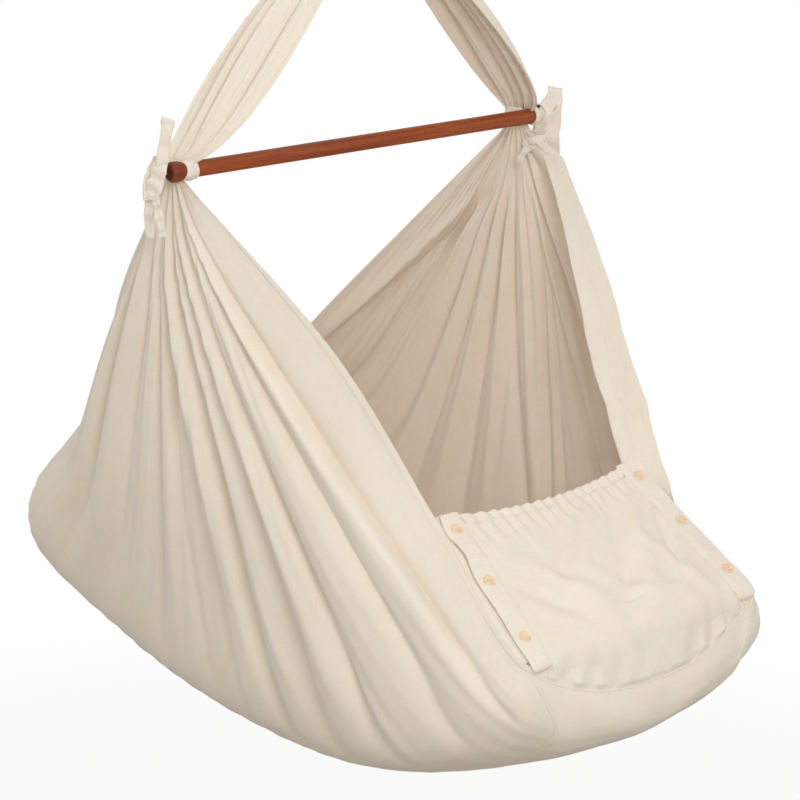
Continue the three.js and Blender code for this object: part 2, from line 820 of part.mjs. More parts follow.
function edgeBox(across, halfHeight, halfThickness) {
  const middle = gatheredEdge(across) + casingHeight / 2;
  const out = -clothThickness / 2;
  return [
    flapPoint(middle - halfHeight, across, out - halfThickness),
    flapPoint(middle + halfHeight, across, out - halfThickness),
    flapPoint(middle + halfHeight, across, out + halfThickness),
    flapPoint(middle - halfHeight, across, out + halfThickness),
  ];
}

function addCasing() {
  const end = flapInnerHalf(flapLength + casingHeight);
  const stops = range(-end, end, 2 * gatherCount);
  const pucker = (across) => 1 - (puckerShare / 2) * (1 - Math.cos((Math.PI * gatherCount * across) / end));
  const elasticHalf = elasticWidth / 2;
  const elasticHalfThickness = elasticThickness / 2;
  const casingHalf = casingHeight / 2;
  const casingHalfThickness = casingThickness / 2;
  const outer = stops.map((across) => edgeBox(across, casingHalf, casingHalfThickness * pucker(across)));
  const bore = stops.map((across) => edgeBox(across, elasticHalf + seatGap, elasticHalfThickness + seatGap));
  const elastic = stops.map((across) => edgeBox(across, elasticHalf, elasticHalfThickness));
  place(footFlap, 'elastic_casing', boredLoft(outer, bore), cottonTrim);
  place(footFlap, 'casing_elastic', loft(elastic), rubber);
}

// Button: a dished disc with four eyes, on a thread shank that passes through the buttonhole
const buttonDishShare = 0.3;
const buttonProfileShares = [
  [0, 0.15],
  [0.86, 0],
  [1, 0.4],
  [0.9, 1],
  [0.62, 1 - buttonDishShare],
  [0, 1 - buttonDishShare],
];
const eyePlaceShare = 0.3;
const eyeCount = 4;
const discSides = 16;
const eyeSides = 6;
const shankSides = 8;

function buttonGeometry() {
  const dish = buttonThickness * buttonDishShare;
  const outline = buttonProfileShares.map(([radiusShare, heightShare]) => {
    return new THREE.Vector2(radiusShare * buttonRadius, heightShare * buttonThickness);
  });
  const disc = new THREE.LatheGeometry(outline, discSides);
  disc.rotateX(Math.PI / 2);
  const eyes = range(0, 1, eyeCount).slice(1).map((turn) => {
    const eye = new THREE.CylinderGeometry(buttonEyeRadius, buttonEyeRadius, 4 * buttonThickness, eyeSides);
    const angle = Math.PI / 4 + 2 * Math.PI * turn;
    const place = buttonRadius * eyePlaceShare;
    eye.rotateX(Math.PI / 2);
    eye.translate(place * Math.cos(angle), place * Math.sin(angle), 0);
    return eye;
  });
  const length = clothThickness + 2 * seatGap + dish;
  const shank = new THREE.CylinderGeometry(buttonShankRadius, buttonShankRadius, length, shankSides);
  shank.rotateX(Math.PI / 2);
  shank.translate(0, 0, dish - length / 2);
  return joined([cut(disc, eyes), shank]);
}

function addButtons() {
  const geometry = buttonGeometry();
  const turn = new THREE.Quaternion().setFromUnitVectors(UP, outOfFlap);
  buttonAlongShares
    .slice()
    .reverse()
    .forEach((share, index) => {
      const { along, across } = buttonPlace(share);
      for (const [side, sign] of [['near', 1], ['far', -1]]) {
        const mesh = place(cradle, `button_${side}_${index + 1}`, geometry, resin);
        mesh.position.copy(flapPoint(along, sign * across, seatGap));
        mesh.quaternion.copy(turn);
      }
    });
}

function addFlap() {
  const facing = facingGrid();
  const farFacing = mirroredGrid(facing);
  place(cradle, 'button_facing_near', sheet(facing.outer, facing.inner), cottonTrim);
  place(cradle, 'button_facing_far', sheet(farFacing.outer, farFacing.inner), cottonTrim);
  const placket = placketGeometry();
  place(footFlap, 'flap_placket_near', placket, cottonTrim);
  place(footFlap, 'flap_placket_far', mirroredGeometry(placket), cottonTrim);
  const panel = flapPanelGrid();
  place(footFlap, 'foot_flap', sheet(panel.outer, panel.inner), cotton);
  addCasing();
}

addHangingRing();
addCrown();
addSlings();
addSpreaderBar();
addTies();
addClothBody();
addFlap();
addButtons();

export default cradle;
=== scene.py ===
"""Looks of the hanging baby cradle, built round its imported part.

Shapes are worked out in millimetres in the part's own frame and turned into metres when a mesh is made.
A place on the cloth body is a fan place, from 0 at the head hem to 1 at the foot hem, and a step down from
the bar: 0 at the waist, 3 at the line of the rims and 5 at the keel.
"""

import math
from collections import namedtuple

import bmesh
import bpy
import numpy as np
from mathutils import Matrix, Vector


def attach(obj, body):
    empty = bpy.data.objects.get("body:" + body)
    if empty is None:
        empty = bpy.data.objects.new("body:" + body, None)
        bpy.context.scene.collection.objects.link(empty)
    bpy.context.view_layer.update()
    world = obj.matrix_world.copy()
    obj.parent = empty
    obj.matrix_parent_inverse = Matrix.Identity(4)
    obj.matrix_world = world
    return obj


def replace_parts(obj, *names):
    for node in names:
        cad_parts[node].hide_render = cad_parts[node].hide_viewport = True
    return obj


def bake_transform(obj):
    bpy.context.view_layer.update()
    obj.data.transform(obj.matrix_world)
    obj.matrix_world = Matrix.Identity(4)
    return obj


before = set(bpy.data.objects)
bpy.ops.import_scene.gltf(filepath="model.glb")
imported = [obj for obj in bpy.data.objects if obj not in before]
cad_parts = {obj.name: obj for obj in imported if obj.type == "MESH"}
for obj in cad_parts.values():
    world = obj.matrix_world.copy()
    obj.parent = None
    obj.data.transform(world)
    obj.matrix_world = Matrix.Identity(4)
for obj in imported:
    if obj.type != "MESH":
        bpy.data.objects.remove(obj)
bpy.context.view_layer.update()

MM = 0.001


def add_object(name, data):
    made = bpy.data.objects.new(name, data)
    bpy.context.scene.collection.objects.link(made)
    return made


# Camera, worked out from the photograph

IMAGE_SIDE = 800
SENSOR_WIDTH = 36
FOCAL_PIXELS = 2600
CLIP_RANGE = (0.05, 60)
CAMERA_AZIMUTH = math.radians(48)
CAMERA_ELEVATION = math.radians(15.8)
CAMERA_DISTANCE = 3.347
CAMERA_TARGET = Vector((0.057, 0, -0.684))


def aim(thing, azimuth, elevation, distance):
    """Puts a camera or a lamp at a distance from the target, looking at it."""
    level = math.cos(elevation)
    toward = Vector((math.sin(azimuth) * level, -math.cos(azimuth) * level, math.sin(elevation)))
    thing.location = CAMERA_TARGET + toward * distance
    thing.rotation_mode = "QUATERNION"
    thing.rotation_quaternion = (-toward).to_track_quat("-Z", "Y")


def add_camera():
    data = bpy.data.cameras.new("view")
    data.sensor_width = SENSOR_WIDTH
    data.lens = SENSOR_WIDTH * FOCAL_PIXELS / IMAGE_SIDE
    data.clip_start, data.clip_end = CLIP_RANGE
    camera = add_object("view", data)
    aim(camera, CAMERA_AZIMUTH, CAMERA_ELEVATION, CAMERA_DISTANCE)
    bpy.context.scene.camera = camera


add_camera()
bpy.context.scene.view_settings.view_transform = "Standard"


# Sizes of the part

RING_RADIUS, WIRE_RADIUS = 30.0, 3.5
BAR_DROP, BAR_LENGTH, BAR_RADIUS = 355.0, 640.0, 10.0
KNOB_RADIUS, KNOB_LENGTH = 13.0, 20.0
HEAD_REACH, FOOT_REACH = 503.0, 493.0
HALF_WIDTH, DEPTH = 246.0, 772.0
CLOTH_THICKNESS = 3.0
SIDE_BOW, END_PULL = 26.0, 60.0
WAIST_WIDTH, WAIST_SETBACK, WAIST_FOLD = 32.0, 27.0, 4.0
SEAT_GAP, SEAM_GAP = 0.3, 0.4
TIE_RADIUS = 3.0
TURN_OUT = BAR_LENGTH / 2 - KNOB_LENGTH - TIE_RADIUS - SEAT_GAP
WAIST_Y = -(TURN_OUT - TIE_RADIUS - SEAT_GAP - WAIST_FOLD)
TURN_IN = -WAIST_Y - WAIST_FOLD - CLOTH_THICKNESS - SEAT_GAP - TIE_RADIUS
NECK_DROP = BAR_RADIUS + WAIST_FOLD

FLAP_LENGTH, HINGE_DROP = 210.0, 513.0
FLAP_SLOPE = math.radians(34.3)
FLAP_TOP_HALF, FLAP_LOW_HALF, FLAP_SAG = 171.0, 194.0, 20.0
PLACKET_WIDTH = 32.0
CASING_HEIGHT, CASING_THICKNESS = 14.0, 6.0
ELASTIC_WIDTH, ELASTIC_THICKNESS = 8.0, 1.6
BUTTON_RADIUS, BUTTON_THICKNESS = 7.5, 3.2

ALONG_FLAP = np.array([-math.cos(FLAP_SLOPE), 0, math.sin(FLAP_SLOPE)])
OUT_OF_FLAP = np.array([math.sin(FLAP_SLOPE), 0, math.cos(FLAP_SLOPE)])
HINGE = np.array([FOOT_REACH, 0, -BAR_DROP - HINGE_DROP])
UNDER_FLAP = CLOTH_THICKNESS + SEAT_GAP
PANEL_HALF = FLAP_TOP_HALF - PLACKET_WIDTH
CASING_END = FLAP_LENGTH + CASING_HEIGHT

# The cloth as it looks is a single layer, thinner than the part's solids
LAYER, FLAP_LAYER, TRIM_LAYER, FACING_LAYER, SEAM_LAYER = 1.1, 1.3, 1.8, 1.6, 1.2


# Materials: noise scales count features in a metre, bump depths are in metres


class Nodes:
    """A node tree with short ways to add and link nodes."""

    def __init__(self, tree):
        self.tree = tree
        tree.nodes.clear()

    def add(self, kind, inputs=(), **settings):
        node = self.tree.nodes.new(kind)
        for name, value in settings.items():
            setattr(node, name, value)
        for name, value in dict(inputs).items():
            self.feed(node.inputs[name], value)
        return node

    def feed(self, socket, value):
        if isinstance(value, bpy.types.NodeSocket):
            self.tree.links.new(value, socket)
        else:
            socket.default_value = value

    def place(self, kind="Object"):
        return self.add("ShaderNodeTexCoord").outputs[kind]

    def math(self, operation, a, b=0.0, clamp=False):
        node = self.add("ShaderNodeMath", operation=operation, use_clamp=clamp)
        self.feed(node.inputs[0], a)
        self.feed(node.inputs[1], b)
        return node.outputs[0]

    def blend(self, factor, a, b):
        node = self.add("ShaderNodeMix", data_type="RGBA", blend_type="MIX")
        self.feed(node.inputs["Factor"], factor)
        self.feed(node.inputs[6], a)
        self.feed(node.inputs[7], b)
        return node.outputs[2]

    def span(self, value, low, high, to_low=0.0, to_high=1.0):
        inputs = {"Value": value, "From Min": low, "From Max": high, "To Min": to_low, "To Max": to_high}
        return self.add("ShaderNodeMapRange", inputs, interpolation_type="SMOOTHSTEP").outputs[0]

    def noise(self, vector, scale, detail=3.0, roughness=0.5, distortion=0.0):
        inputs = {"Vector": vector, "Scale": scale, "Detail": detail}
        inputs.update({"Roughness": roughness, "Distortion": distortion})
        return self.add("ShaderNodeTexNoise", inputs).outputs["Fac"]

    def stretched(self, vector, scale):
        node = self.add("ShaderNodeVectorMath", {"Vector": vector}, operation="MULTIPLY")
        node.inputs[1].default_value = scale
        return node.outputs[0]

    def grain(self, vector, scale, detail=3.0, roughness=0.5, distortion=0.0):
        """Noise with its own scale each way."""
        return self.noise(self.stretched(vector, scale), 1.0, detail, roughness, distortion)

    def bumps(self, *layers):
        """Bump of several heights, each given with its depth and strength, the coarsest first."""
        normal = None
        for height, depth, strength in layers:
            node = self.add("ShaderNodeBump", {"Height": height, "Distance": depth, "Strength": strength})
            if normal is not None:
                self.feed(node.inputs["Normal"], normal)
            normal = node.outputs[0]
        return normal

    def unlit(self):
        """1 for the rays that see the background itself: camera, glossy and transmission rays."""
        path = self.add("ShaderNodeLightPath")
        seen = self.math("ADD", path.outputs["Is Camera Ray"], path.outputs["Is Glossy Ray"])
        return path, self.math("ADD", seen, path.outputs["Is Transmission Ray"], clamp=True)

    def finish(self, base, roughness, normal, **constants):
        """Surface of the material; constants are inputs that are the same all over it."""
        inputs = {"Base Color": base, "Roughness": roughness, "Normal": normal}
        shader = self.add("ShaderNodeBsdfPrincipled", inputs)
        for name, value in constants.items():
            shader.inputs[name.replace("_", " ")].default_value = value
        self.add("ShaderNodeOutputMaterial", {"Surface": shader.outputs[0]})


def colour(red, green, blue):
    """Linear colour of an 8-bit screen colour."""
    out = []
    for value in (red, green, blue):
        share = value / 255
        out.append(share / 12.92 if share <= 0.04045 else ((share + 0.055) / 1.055) ** 2.4)
    return (*out, 1.0)


def new_material(name):
    material = bpy.data.materials.new(name)
    material.use_nodes = True
    return material, Nodes(material.node_tree)


SLUB_SCALES = ((900, 26, 1), (26, 900, 1))


def cotton(name, light, shade, thread_pitch=0.0009, crumple=1.0):
    """Unbleached plain weave: two sets of threads, slubs along both, soft tone changes and creases."""
    material, nodes = new_material(name)
    place = nodes.add("ShaderNodeTexCoord")
    uv, spot = place.outputs["UV"], place.outputs["Object"]
    parts = nodes.add("ShaderNodeSeparateXYZ", {"Vector": uv})
    turn = 2 * math.pi / thread_pitch
    warp, weft = (nodes.math("SINE", nodes.math("MULTIPLY", parts.outputs[k], turn)) for k in (0, 1))
    weave = nodes.math("MULTIPLY", warp, weft)
    slubs = nodes.math("ADD", *(nodes.grain(uv, scale, 2.0) for scale in SLUB_SCALES))
    tone = nodes.noise(spot, 5.5, 4.0, 0.6)
    mottle = nodes.noise(spot, 38.0, 3.0, 0.6)
    toned = nodes.math("ADD", nodes.span(tone, 0.3, 0.75, 0.0, 0.3), nodes.span(mottle, 0.35, 0.7, 0.0, 0.14))
    factor = nodes.math("ADD", toned, nodes.span(slubs, 0.8, 1.35, 0.0, 0.45), clamp=True)
    base = nodes.blend(factor, light, shade)
    creases = nodes.noise(spot, 26.0 * crumple, 5.0, 0.55, 1.4)
    fine = nodes.noise(spot, 95.0, 4.0, 0.6, 0.6)
    normal = nodes.bumps(
        (creases, 0.0016, 0.28), (fine, 0.0005, 0.35), (slubs, 0.00016, 0.5), (weave, 0.00012, 0.55)
    )
    rough = nodes.span(slubs, 0.7, 1.3, 0.84, 0.96)
    soft = {"Sheen_Weight": 0.12, "Sheen_Roughness": 0.5, "Subsurface_Weight": 0.2, "Subsurface_Scale": 0.003}
    nodes.finish(base, rough, normal, Specular_IOR_Level=0.22, **soft)
    return material


def stained_wood():
    """Straight-grained stained beech: fibres along the bar, dark flecks, knobs darkened all round as painted
    shade, and end faces with end rings in colours darkened partly as painted shade.
    """
    material, nodes = new_material("stained_beech")
    place = nodes.add("ShaderNodeTexCoord")
    spot = place.outputs["Object"]
    long_grain = nodes.grain(spot, (170, 5.5, 170), 6.0, 0.62, 0.35)
    fleck = nodes.grain(spot, (620, 34, 620), 2.0)
    broad = nodes.grain(spot, (26, 2.5, 26))
    face = nodes.add("ShaderNodeSeparateXYZ", {"Vector": place.outputs["Normal"]})
    end_grain_and_shade_share = nodes.span(nodes.math("ABSOLUTE", face.outputs[1]), 0.75, 0.95)
    rings = nodes.add(
        "ShaderNodeTexWave",
        {"Vector": nodes.stretched(spot, (1, 0, 1)), "Scale": 210.0, "Distortion": 3.5, "Detail": 3.0},
        wave_type="RINGS",
        rings_direction="Y",
    ).outputs["Fac"]
    pale, mid, dark = colour(166, 82, 34), colour(140, 60, 22), colour(84, 32, 12)
    base = nodes.blend(nodes.span(long_grain, 0.32, 0.68), pale, mid)
    base = nodes.blend(nodes.span(broad, 0.35, 0.8, 0.0, 0.45), base, dark)
    base = nodes.blend(nodes.span(fleck, 0.6, 0.74, 0.0, 0.7), base, dark)
    # End faces: end-grain rings, in colours darkened partly as painted shade
    end = nodes.blend(rings, colour(104, 40, 18), colour(72, 24, 12))
    across = nodes.add("ShaderNodeSeparateXYZ", {"Vector": spot}).outputs[1]
    # Knobs darkened all round: painted shade
    knob_from = (BAR_LENGTH / 2 - KNOB_LENGTH) * MM
    knob_painted_shade = nodes.span(nodes.math("ABSOLUTE", across), knob_from - 0.001, knob_from + 0.005, 0.0, 0.6)
    base = nodes.blend(knob_painted_shade, base, colour(92, 38, 16))
    base = nodes.blend(end_grain_and_shade_share, base, end)
    normal = nodes.bumps((long_grain, 0.0004, 0.3), (fleck, 0.0002, 0.5))
    rough = nodes.span(long_grain, 0.3, 0.7, 0.44, 0.6)
    nodes.finish(base, rough, normal, Coat_Weight=0.06, Coat_Roughness=0.35, Specular_IOR_Level=0.3)
    return material


def ring_steel():
    """Polished steel wire with fine drawn lines, small scratches and faint spots where it has rubbed."""
    material, nodes = new_material("ring_steel")
    spot = nodes.place()
    lines = nodes.grain(spot, (400, 2600, 400))
    worn = nodes.noise(spot, 120.0, 4.0, 0.65)
    base = nodes.blend(nodes.span(worn, 0.4, 0.7), colour(208, 210, 212), colour(168, 170, 172))
    rubbed = nodes.span(worn, 0.35, 0.75, 0.16, 0.34)
    rough = nodes.math("ADD", rubbed, nodes.span(lines, 0.4, 0.6, 0.0, 0.08))
    nodes.finish(base, rough, nodes.bumps((lines, 0.00006, 0.5)), Metallic=1.0)
    return material


def button_resin():
    """Cream resin that runs to peach in soft clouds, a little glossier where it is rubbed."""
    material, nodes = new_material("button_resin")
    spot = nodes.place()
    cloud = nodes.noise(nodes.stretched(spot, (1, 1, 2.2)), 150.0, 4.0, 0.55, 1.2)
    speck = nodes.noise(spot, 900.0, 2.0)
    base = nodes.blend(nodes.span(cloud, 0.35, 0.68), colour(245, 218, 186), colour(230, 190, 150))
    base = nodes.blend(nodes.span(speck, 0.62, 0.75, 0.0, 0.25), base, colour(214, 168, 126))
    rough = nodes.span(cloud, 0.3, 0.7, 0.24, 0.38)
    gloss = {"Coat_Weight": 0.25, "Coat_Roughness": 0.15}
    normal = nodes.bumps((speck, 0.00005, 0.4))
    nodes.finish(base, rough, normal, Subsurface_Weight=0.15, Subsurface_Scale=0.002, **gloss)
    return material


def sewing_thread(name, tint):
    """Twisted thread: slanted plies and a little fluff."""
    material, nodes = new_material(name)
    spot = nodes.place()
    plies = nodes.grain(spot, (1500, 1500, 900), 2.0)
    tone = nodes.noise(spot, 60.0, 2.0)
    dark = tuple(0.82 * value for value in tint[:3]) + (1.0,)
    base = nodes.blend(nodes.span(tone, 0.3, 0.7, 0.0, 0.7), tint, dark)
    nodes.finish(base, nodes.span(plies, 0.3, 0.7, 0.7, 0.9), nodes.bumps((plies, 0.0002, 0.6)))
    return material


def elastic_rubber():
    """Knitted elastic: ribs along the band between white rubber cores."""
    material, nodes = new_material("elastic_rubber")
    spot = nodes.place()
    ribs = nodes.grain(spot, (1400, 30, 1400), 2.0)
    knit = nodes.noise(spot, 800.0, 2.0)
    base = nodes.blend(nodes.span(knit, 0.35, 0.65), colour(238, 235, 226), colour(212, 207, 196))
    normal = nodes.bumps((ribs, 0.0003, 0.7), (knit, 0.0002, 0.5))
    nodes.finish(base, nodes.span(ribs, 0.3, 0.7, 0.7, 0.85), normal)
    return material


COTTON = cotton("cradle_cotton", colour(246, 236, 223), colour(238, 224, 204))
COTTON_TRIM = cotton("trim_cotton", colour(247, 237, 225), colour(240, 226, 208), 0.0008, 1.3)
WOOD = stained_wood()
STEEL = ring_steel()
RESIN = button_resin()
THREAD = sewing_thread("seam_thread", colour(242, 231, 213))
BUTTON_THREAD = sewing_thread("button_thread", colour(247, 240, 226))
RUBBER = elastic_rubber()

# The record's slot that each material goes with
SLOTS = {material: "cotton_trim" for material in (COTTON_TRIM, THREAD, BUTTON_THREAD)}
SLOTS.update({COTTON: "cotton_cloth", WOOD: "stained_wood", STEEL: "ring_steel"})
SLOTS.update({RESIN: "button_resin", RUBBER: "elastic_rubber"})


# Points, curves and meshes


def ease(value, low, high):
    share = np.clip((value - low) / (high - low), 0, 1)
    return share * share * (3 - 2 * share)


def bell(offset):
    return np.exp(-(offset**2))


def unit(vectors):
    return vectors / np.maximum(np.linalg.norm(vectors, axis=-1, keepdims=True), 1e-9)


def circle(sides):
    return np.arange(sides) / sides * 2 * np.pi


def mirrored(points):
    return points * np.array([1, -1, 1])


def flap_point(along, across, out):
    """Points of the flap's frame: along from the hinge, across it, and out of it."""
    along, across, out = np.broadcast_arrays(*(np.asarray(v, float) for v in (along, across, out)))
    point = HINGE + along[..., None] * ALONG_FLAP + out[..., None] * OUT_OF_FLAP
    point[..., 1] = across
    return point


def flap_half_width(along):
    return FLAP_LOW_HALF + (FLAP_TOP_HALF - FLAP_LOW_HALF) * along / FLAP_LENGTH


def catmull(points, share):
    """Even Catmull-Rom curve through points, at shares of its length in segments."""
    points = np.asarray(points, float)
    points = np.vstack([2 * points[0] - points[1], points, 2 * points[-1] - points[-2]])
    count = len(points) - 3
    u = np.clip(share, 0, 1) * count
    i = np.minimum(u.astype(int), count - 1)
    f = (u - i)[:, None]
    a, b, c, d = points[i], points[i + 1], points[i + 2], points[i + 3]
    return 0.5 * (2 * b + (c - a) * f + (2 * a - 5 * b + 4 * c - d) * f**2 + (3 * b - a - 3 * c + d) * f**3)


def centripetal(points, step):
    """Centripetal Catmull-Rom curves, one for each row of points, at steps counted in segments."""
    q = np.stack(points, 1)
    q = np.concatenate([2 * q[:, :1] - q[:, 1:2], q, 2 * q[:, -1:] - q[:, -2:-1]], 1)
    i = np.clip(np.floor(step).astype(int), 0, q.shape[1] - 4)
    f = (step - i)[..., None]
    rows = np.arange(len(q))[:, None]
    p0, p1, p2, p3 = (q[rows, i + j] for j in range(4))

    def gap(a, b):
        return np.maximum(np.sqrt(np.linalg.norm(a - b, axis=-1, keepdims=True)), 1e-4)

    d0, d1, d2 = gap(p0, p1), gap(p1, p2), gap(p2, p3)
    m1 = ((p1 - p0) / d0 - (p2 - p0) / (d0 + d1) + (p2 - p1) / d1) * d1
    m2 = ((p2 - p1) / d1 - (p3 - p1) / (d1 + d2) + (p3 - p2) / d2) * d1
    return p1 + m1 * f + (-3 * p1 + 3 * p2 - 2 * m1 - m2) * f**2 + (2 * p1 - 2 * p2 + m1 + m2) * f**3


def smoothed(rows, times):
    """Rows of points drawn towards the middle of their neighbours, ends kept."""
    rows = rows.copy()
    for _ in range(times):
        rows[:, 1:-1] = (rows[:, :-2] + rows[:, 2:]) / 2 * 0.5 + rows[:, 1:-1] * 0.5
    return rows


def grid_normals(points):
    return unit(np.cross(np.gradient(points, axis=1), np.gradient(points, axis=0)))


UV_WINDOW = 43


def grid_uv(points):
    """Places in metres that follow the cloth's own lengths both ways, from its middle column out."""
    across = np.linalg.norm(np.diff(points, axis=0), axis=2)
    down = np.linalg.norm(np.diff(points, axis=1), axis=2)
    kernel = np.hanning(UV_WINDOW)[1:-1] / np.hanning(UV_WINDOW).sum()
    margin = len(kernel) // 2
    wider = np.pad(down, ((margin, margin), (0, 0)), "edge")
    down = np.stack([np.convolve(column, kernel, "valid") for column in wider.T], 1)
    u = np.concatenate([np.zeros((1, points.shape[1])), np.cumsum(across, axis=0)])
    u = u - u[len(u) // 2]
    v = np.concatenate([np.zeros((points.shape[0], 1)), np.cumsum(down, axis=1)], axis=1)
    return np.stack([u, v], axis=-1).reshape(-1, 2) * MM


def mesh_object(name, points, faces, material, uv=None, sharp=55):
    """Object from points in millimetres; uv is a place in metres for each point."""
    mesh = bpy.data.meshes.new(name)
    mesh.from_pydata((np.asarray(points, float) * MM).tolist(), [], [list(face) for face in faces])
    if uv is not None:
        layer = mesh.uv_layers.new(name="cloth")
        loops = np.zeros(len(mesh.loops), np.int64)
        mesh.loops.foreach_get("vertex_index", loops)
        layer.data.foreach_set("uv", np.asarray(uv, np.float32)[loops].ravel())
    mesh.materials.append(material)
    mesh.shade_smooth()
    mesh.set_sharp_from_angle(angle=math.radians(sharp))
    mesh.validate()
    return add_object(name, mesh)


def dress(shown, body, node=None):
    """Gives a piece its body and hides the part's node that it stands for."""
    if body is not None:
        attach(shown, body)
    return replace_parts(shown, node) if node else shown


def sheet_faces(rows, columns):
    """Faces of two grids of points joined round their edge."""
    half = rows * columns
    index = np.arange(half).reshape(rows, columns)
    a, b = index[:-1, :-1].ravel(), index[1:, :-1].ravel()
    c, d = index[1:, 1:].ravel(), index[:-1, 1:].ravel()
    faces = [np.stack([a, b, c, d], 1), np.stack([a, d, c, b], 1) + half]
    rim = np.concatenate([index[:, 0], index[-1, 1:], index[-2::-1, -1], index[0, -2::-1]])
    rim, after = rim[:-1], rim[1:]
    faces.append(np.stack([rim, rim + half, after + half, after], 1))
    return np.concatenate(faces).tolist()


def cloth_object(name, outer, thickness, material, body, node=None, inner=None):
    """Closed sheet from a grid of its outer face; normals of the grid point out of it."""
    if inner is None:
        inner = outer - grid_normals(outer) * thickness
    points = np.concatenate([outer.reshape(-1, 3), inner.reshape(-1, 3)])
    uv = grid_uv(outer)
    shown = mesh_object(name, points, sheet_faces(*outer.shape[:2]), material, np.concatenate([uv, uv]))
    fix_normals(shown)
    return dress(shown, body, node)


def fix_normals(shown):
    """Turns the faces out, by the sign of the volume that they close."""
    mesh = shown.data
    points = np.zeros(len(mesh.vertices) * 3)
    mesh.vertices.foreach_get("co", points)
    mesh.calc_loop_triangles()
    corners = np.zeros(len(mesh.loop_triangles) * 3, np.int64)
    mesh.loop_triangles.foreach_get("vertices", corners)
    a, b, c = points.reshape(-1, 3)[corners.reshape(-1, 3)].transpose(1, 0, 2)
    if (a * np.cross(b, c)).sum() < 0:
        mesh.flip_normals()


def outward_islands(shown):
    """Turns the faces of each closed piece of a mesh out."""
    mesh = bmesh.new()
    mesh.from_mesh(shown.data)
    bmesh.ops.recalc_face_normals(mesh, faces=mesh.faces)
    mesh.to_mesh(shown.data)
    mesh.free()


def flip_across(shown):
    """Mirrors a finished piece to the far side."""
    shown.data.transform(Matrix.Scale(-1, 4, (0, 1, 0)))
    shown.data.flip_normals()


def tube(path, radius, sides=8, flat=1.0, wide=(0.0, 0.0, 1.0)):
    """Points and faces of a closed tube along a path; flat squeezes it across the wide direction."""
    path = np.asarray(path, float)
    tangent = unit(np.gradient(path, axis=0))
    across = np.asarray(wide, float)
    angles = circle(sides)
    points = []
    for place, heading, size in zip(path, tangent, np.broadcast_to(radius, len(path))):
        across = unit(across - heading * (across @ heading))
        lift = np.cross(heading, across)
        section = np.outer(np.cos(angles), across) + flat * np.outer(np.sin(angles), lift)
        points.append(place + size * section)
    return join_sections(points)


def join_sections(sections):
    count = len(sections[0])
    points = np.concatenate(sections)
    faces = []
    for row in range(len(sections) - 1):
        for side in range(count):
            a = row * count + side
            b = row * count + (side + 1) % count
            faces.append((a, b, b + count, a + count))
    faces.append(tuple(reversed(range(count))))
    faces.append(tuple(range(len(points) - count, len(points))))
    return points, faces


def merge(parts):
    """One list of points and one of faces from several."""
    points, faces, start = [], [], 0
    for part_points, part_faces in parts:
        points.append(part_points)
        faces.extend(tuple(index + start for index in face) for face in part_faces)
        start += len(part_points)
    return np.concatenate(points), faces


def lathe(profile, sides):
    """Points and faces of a profile of (radius, height) turned about Z; the ends lie on the axis."""
    inner = profile[1:-1]
    rings = [[(r * math.cos(t), r * math.sin(t), h) for t in circle(sides)] for r, h in inner]
    points = [(0, 0, profile[0][1])] + [p for ring in rings for p in ring] + [(0, 0, profile[-1][1])]
    faces = []
    for side in range(sides):
        after = (side + 1) % sides
        faces.append((0, 1 + after, 1 + side))
        for row in range(len(inner) - 1):
            a, b = 1 + row * sides + side, 1 + row * sides + after
            faces.append((a, b, b + sides, a + sides))
        last = 1 + (len(inner) - 1) * sides
        faces.append((last + side, last + after, len(points) - 1))
    return np.array(points, float), faces


def rounded(profile, reach, steps=4):
    """Profile with each inner corner rounded by a short curve."""
    profile = [np.array(p, float) for p in profile]
    out = [profile[0]]
    for before, corner, after in zip(profile, profile[1:], profile[2:]):
        a = corner + (before - corner) * reach
        b = corner + (after - corner) * reach
        for t in np.linspace(0, 1, steps + 1):
            out.append((1 - t) ** 2 * a + 2 * t * (1 - t) * corner + t * t * b)
    out.append(profile[-1])
    return [tuple(p) for p in out]


def cut(shown, name, points, faces, material):
    """Cuts a closed form out of a closed mesh, in place."""
    cutter = mesh_object(name, points, faces, material)
    fix_normals(cutter)
    modifier = shown.modifiers.new("cut", "BOOLEAN")
    modifier.operation, modifier.solver, modifier.object = "DIFFERENCE", "EXACT", cutter
    bpy.context.view_layer.update()
    made = bpy.data.meshes.new_from_object(shown.evaluated_get(bpy.context.evaluated_depsgraph_get()))
    shown.modifiers.clear()
    old = shown.data
    shown.data = made
    bpy.data.meshes.remove(old)
    bpy.data.objects.remove(cutter)


# The cloth body's bare surface, in shares of the part's sizes

# Rim from head to foot: shares of the reach, the half width and the depth
RIM = [(-0.78, 0.51, 0.55), (-0.94, 0.82, 0.67), (-0.89, 0.93, 0.78), (-0.57, 0.89, 0.87)]
RIM += [(-0.16, 0.91, 0.92), (0.29, 0.91, 0.92), (0.67, 0.96, 0.86), (0.97, 0.88, 0.75)]
# Keel from head to foot: shares of the reach and the depth
KEEL = [(-0.81, 0.57), (-1, 0.71), (-0.93, 0.84), (-0.63, 0.95)]
KEEL += [(-0.19, 1), (0.28, 1.01), (0.72, 0.93), (1.03, 0.82)]
# How the cloth bows out between waist and rim, from head to foot: shares of END_PULL, SIDE_BOW and END_PULL
MIDDLE = [(-0.29, 0.63, 0.03), (0.42, 0.37, 0), (0.52, 0.92, 0), (0.5, 1, 0), (0.17, 1, 0), (-0.13, 1, 0)]
MIDDLE += [(-0.4, 1.05, 0), (-0.58, 0.88, 0), (0.18, -0.57, 0.36)]
LOW = [(-0.18, 0.24, 0.07), (0.8, 0.32, 0), (0.81, 0.97, 0), (0.67, 0.93, 0), (0.19, 0.95, 0)]
LOW += [(-0.18, 0.96, 0), (-0.57, 0.86, 0), (-0.97, 0.49, 0)]
MIDDLE_SHARE, LOW_SHARE = 0.42, 0.76
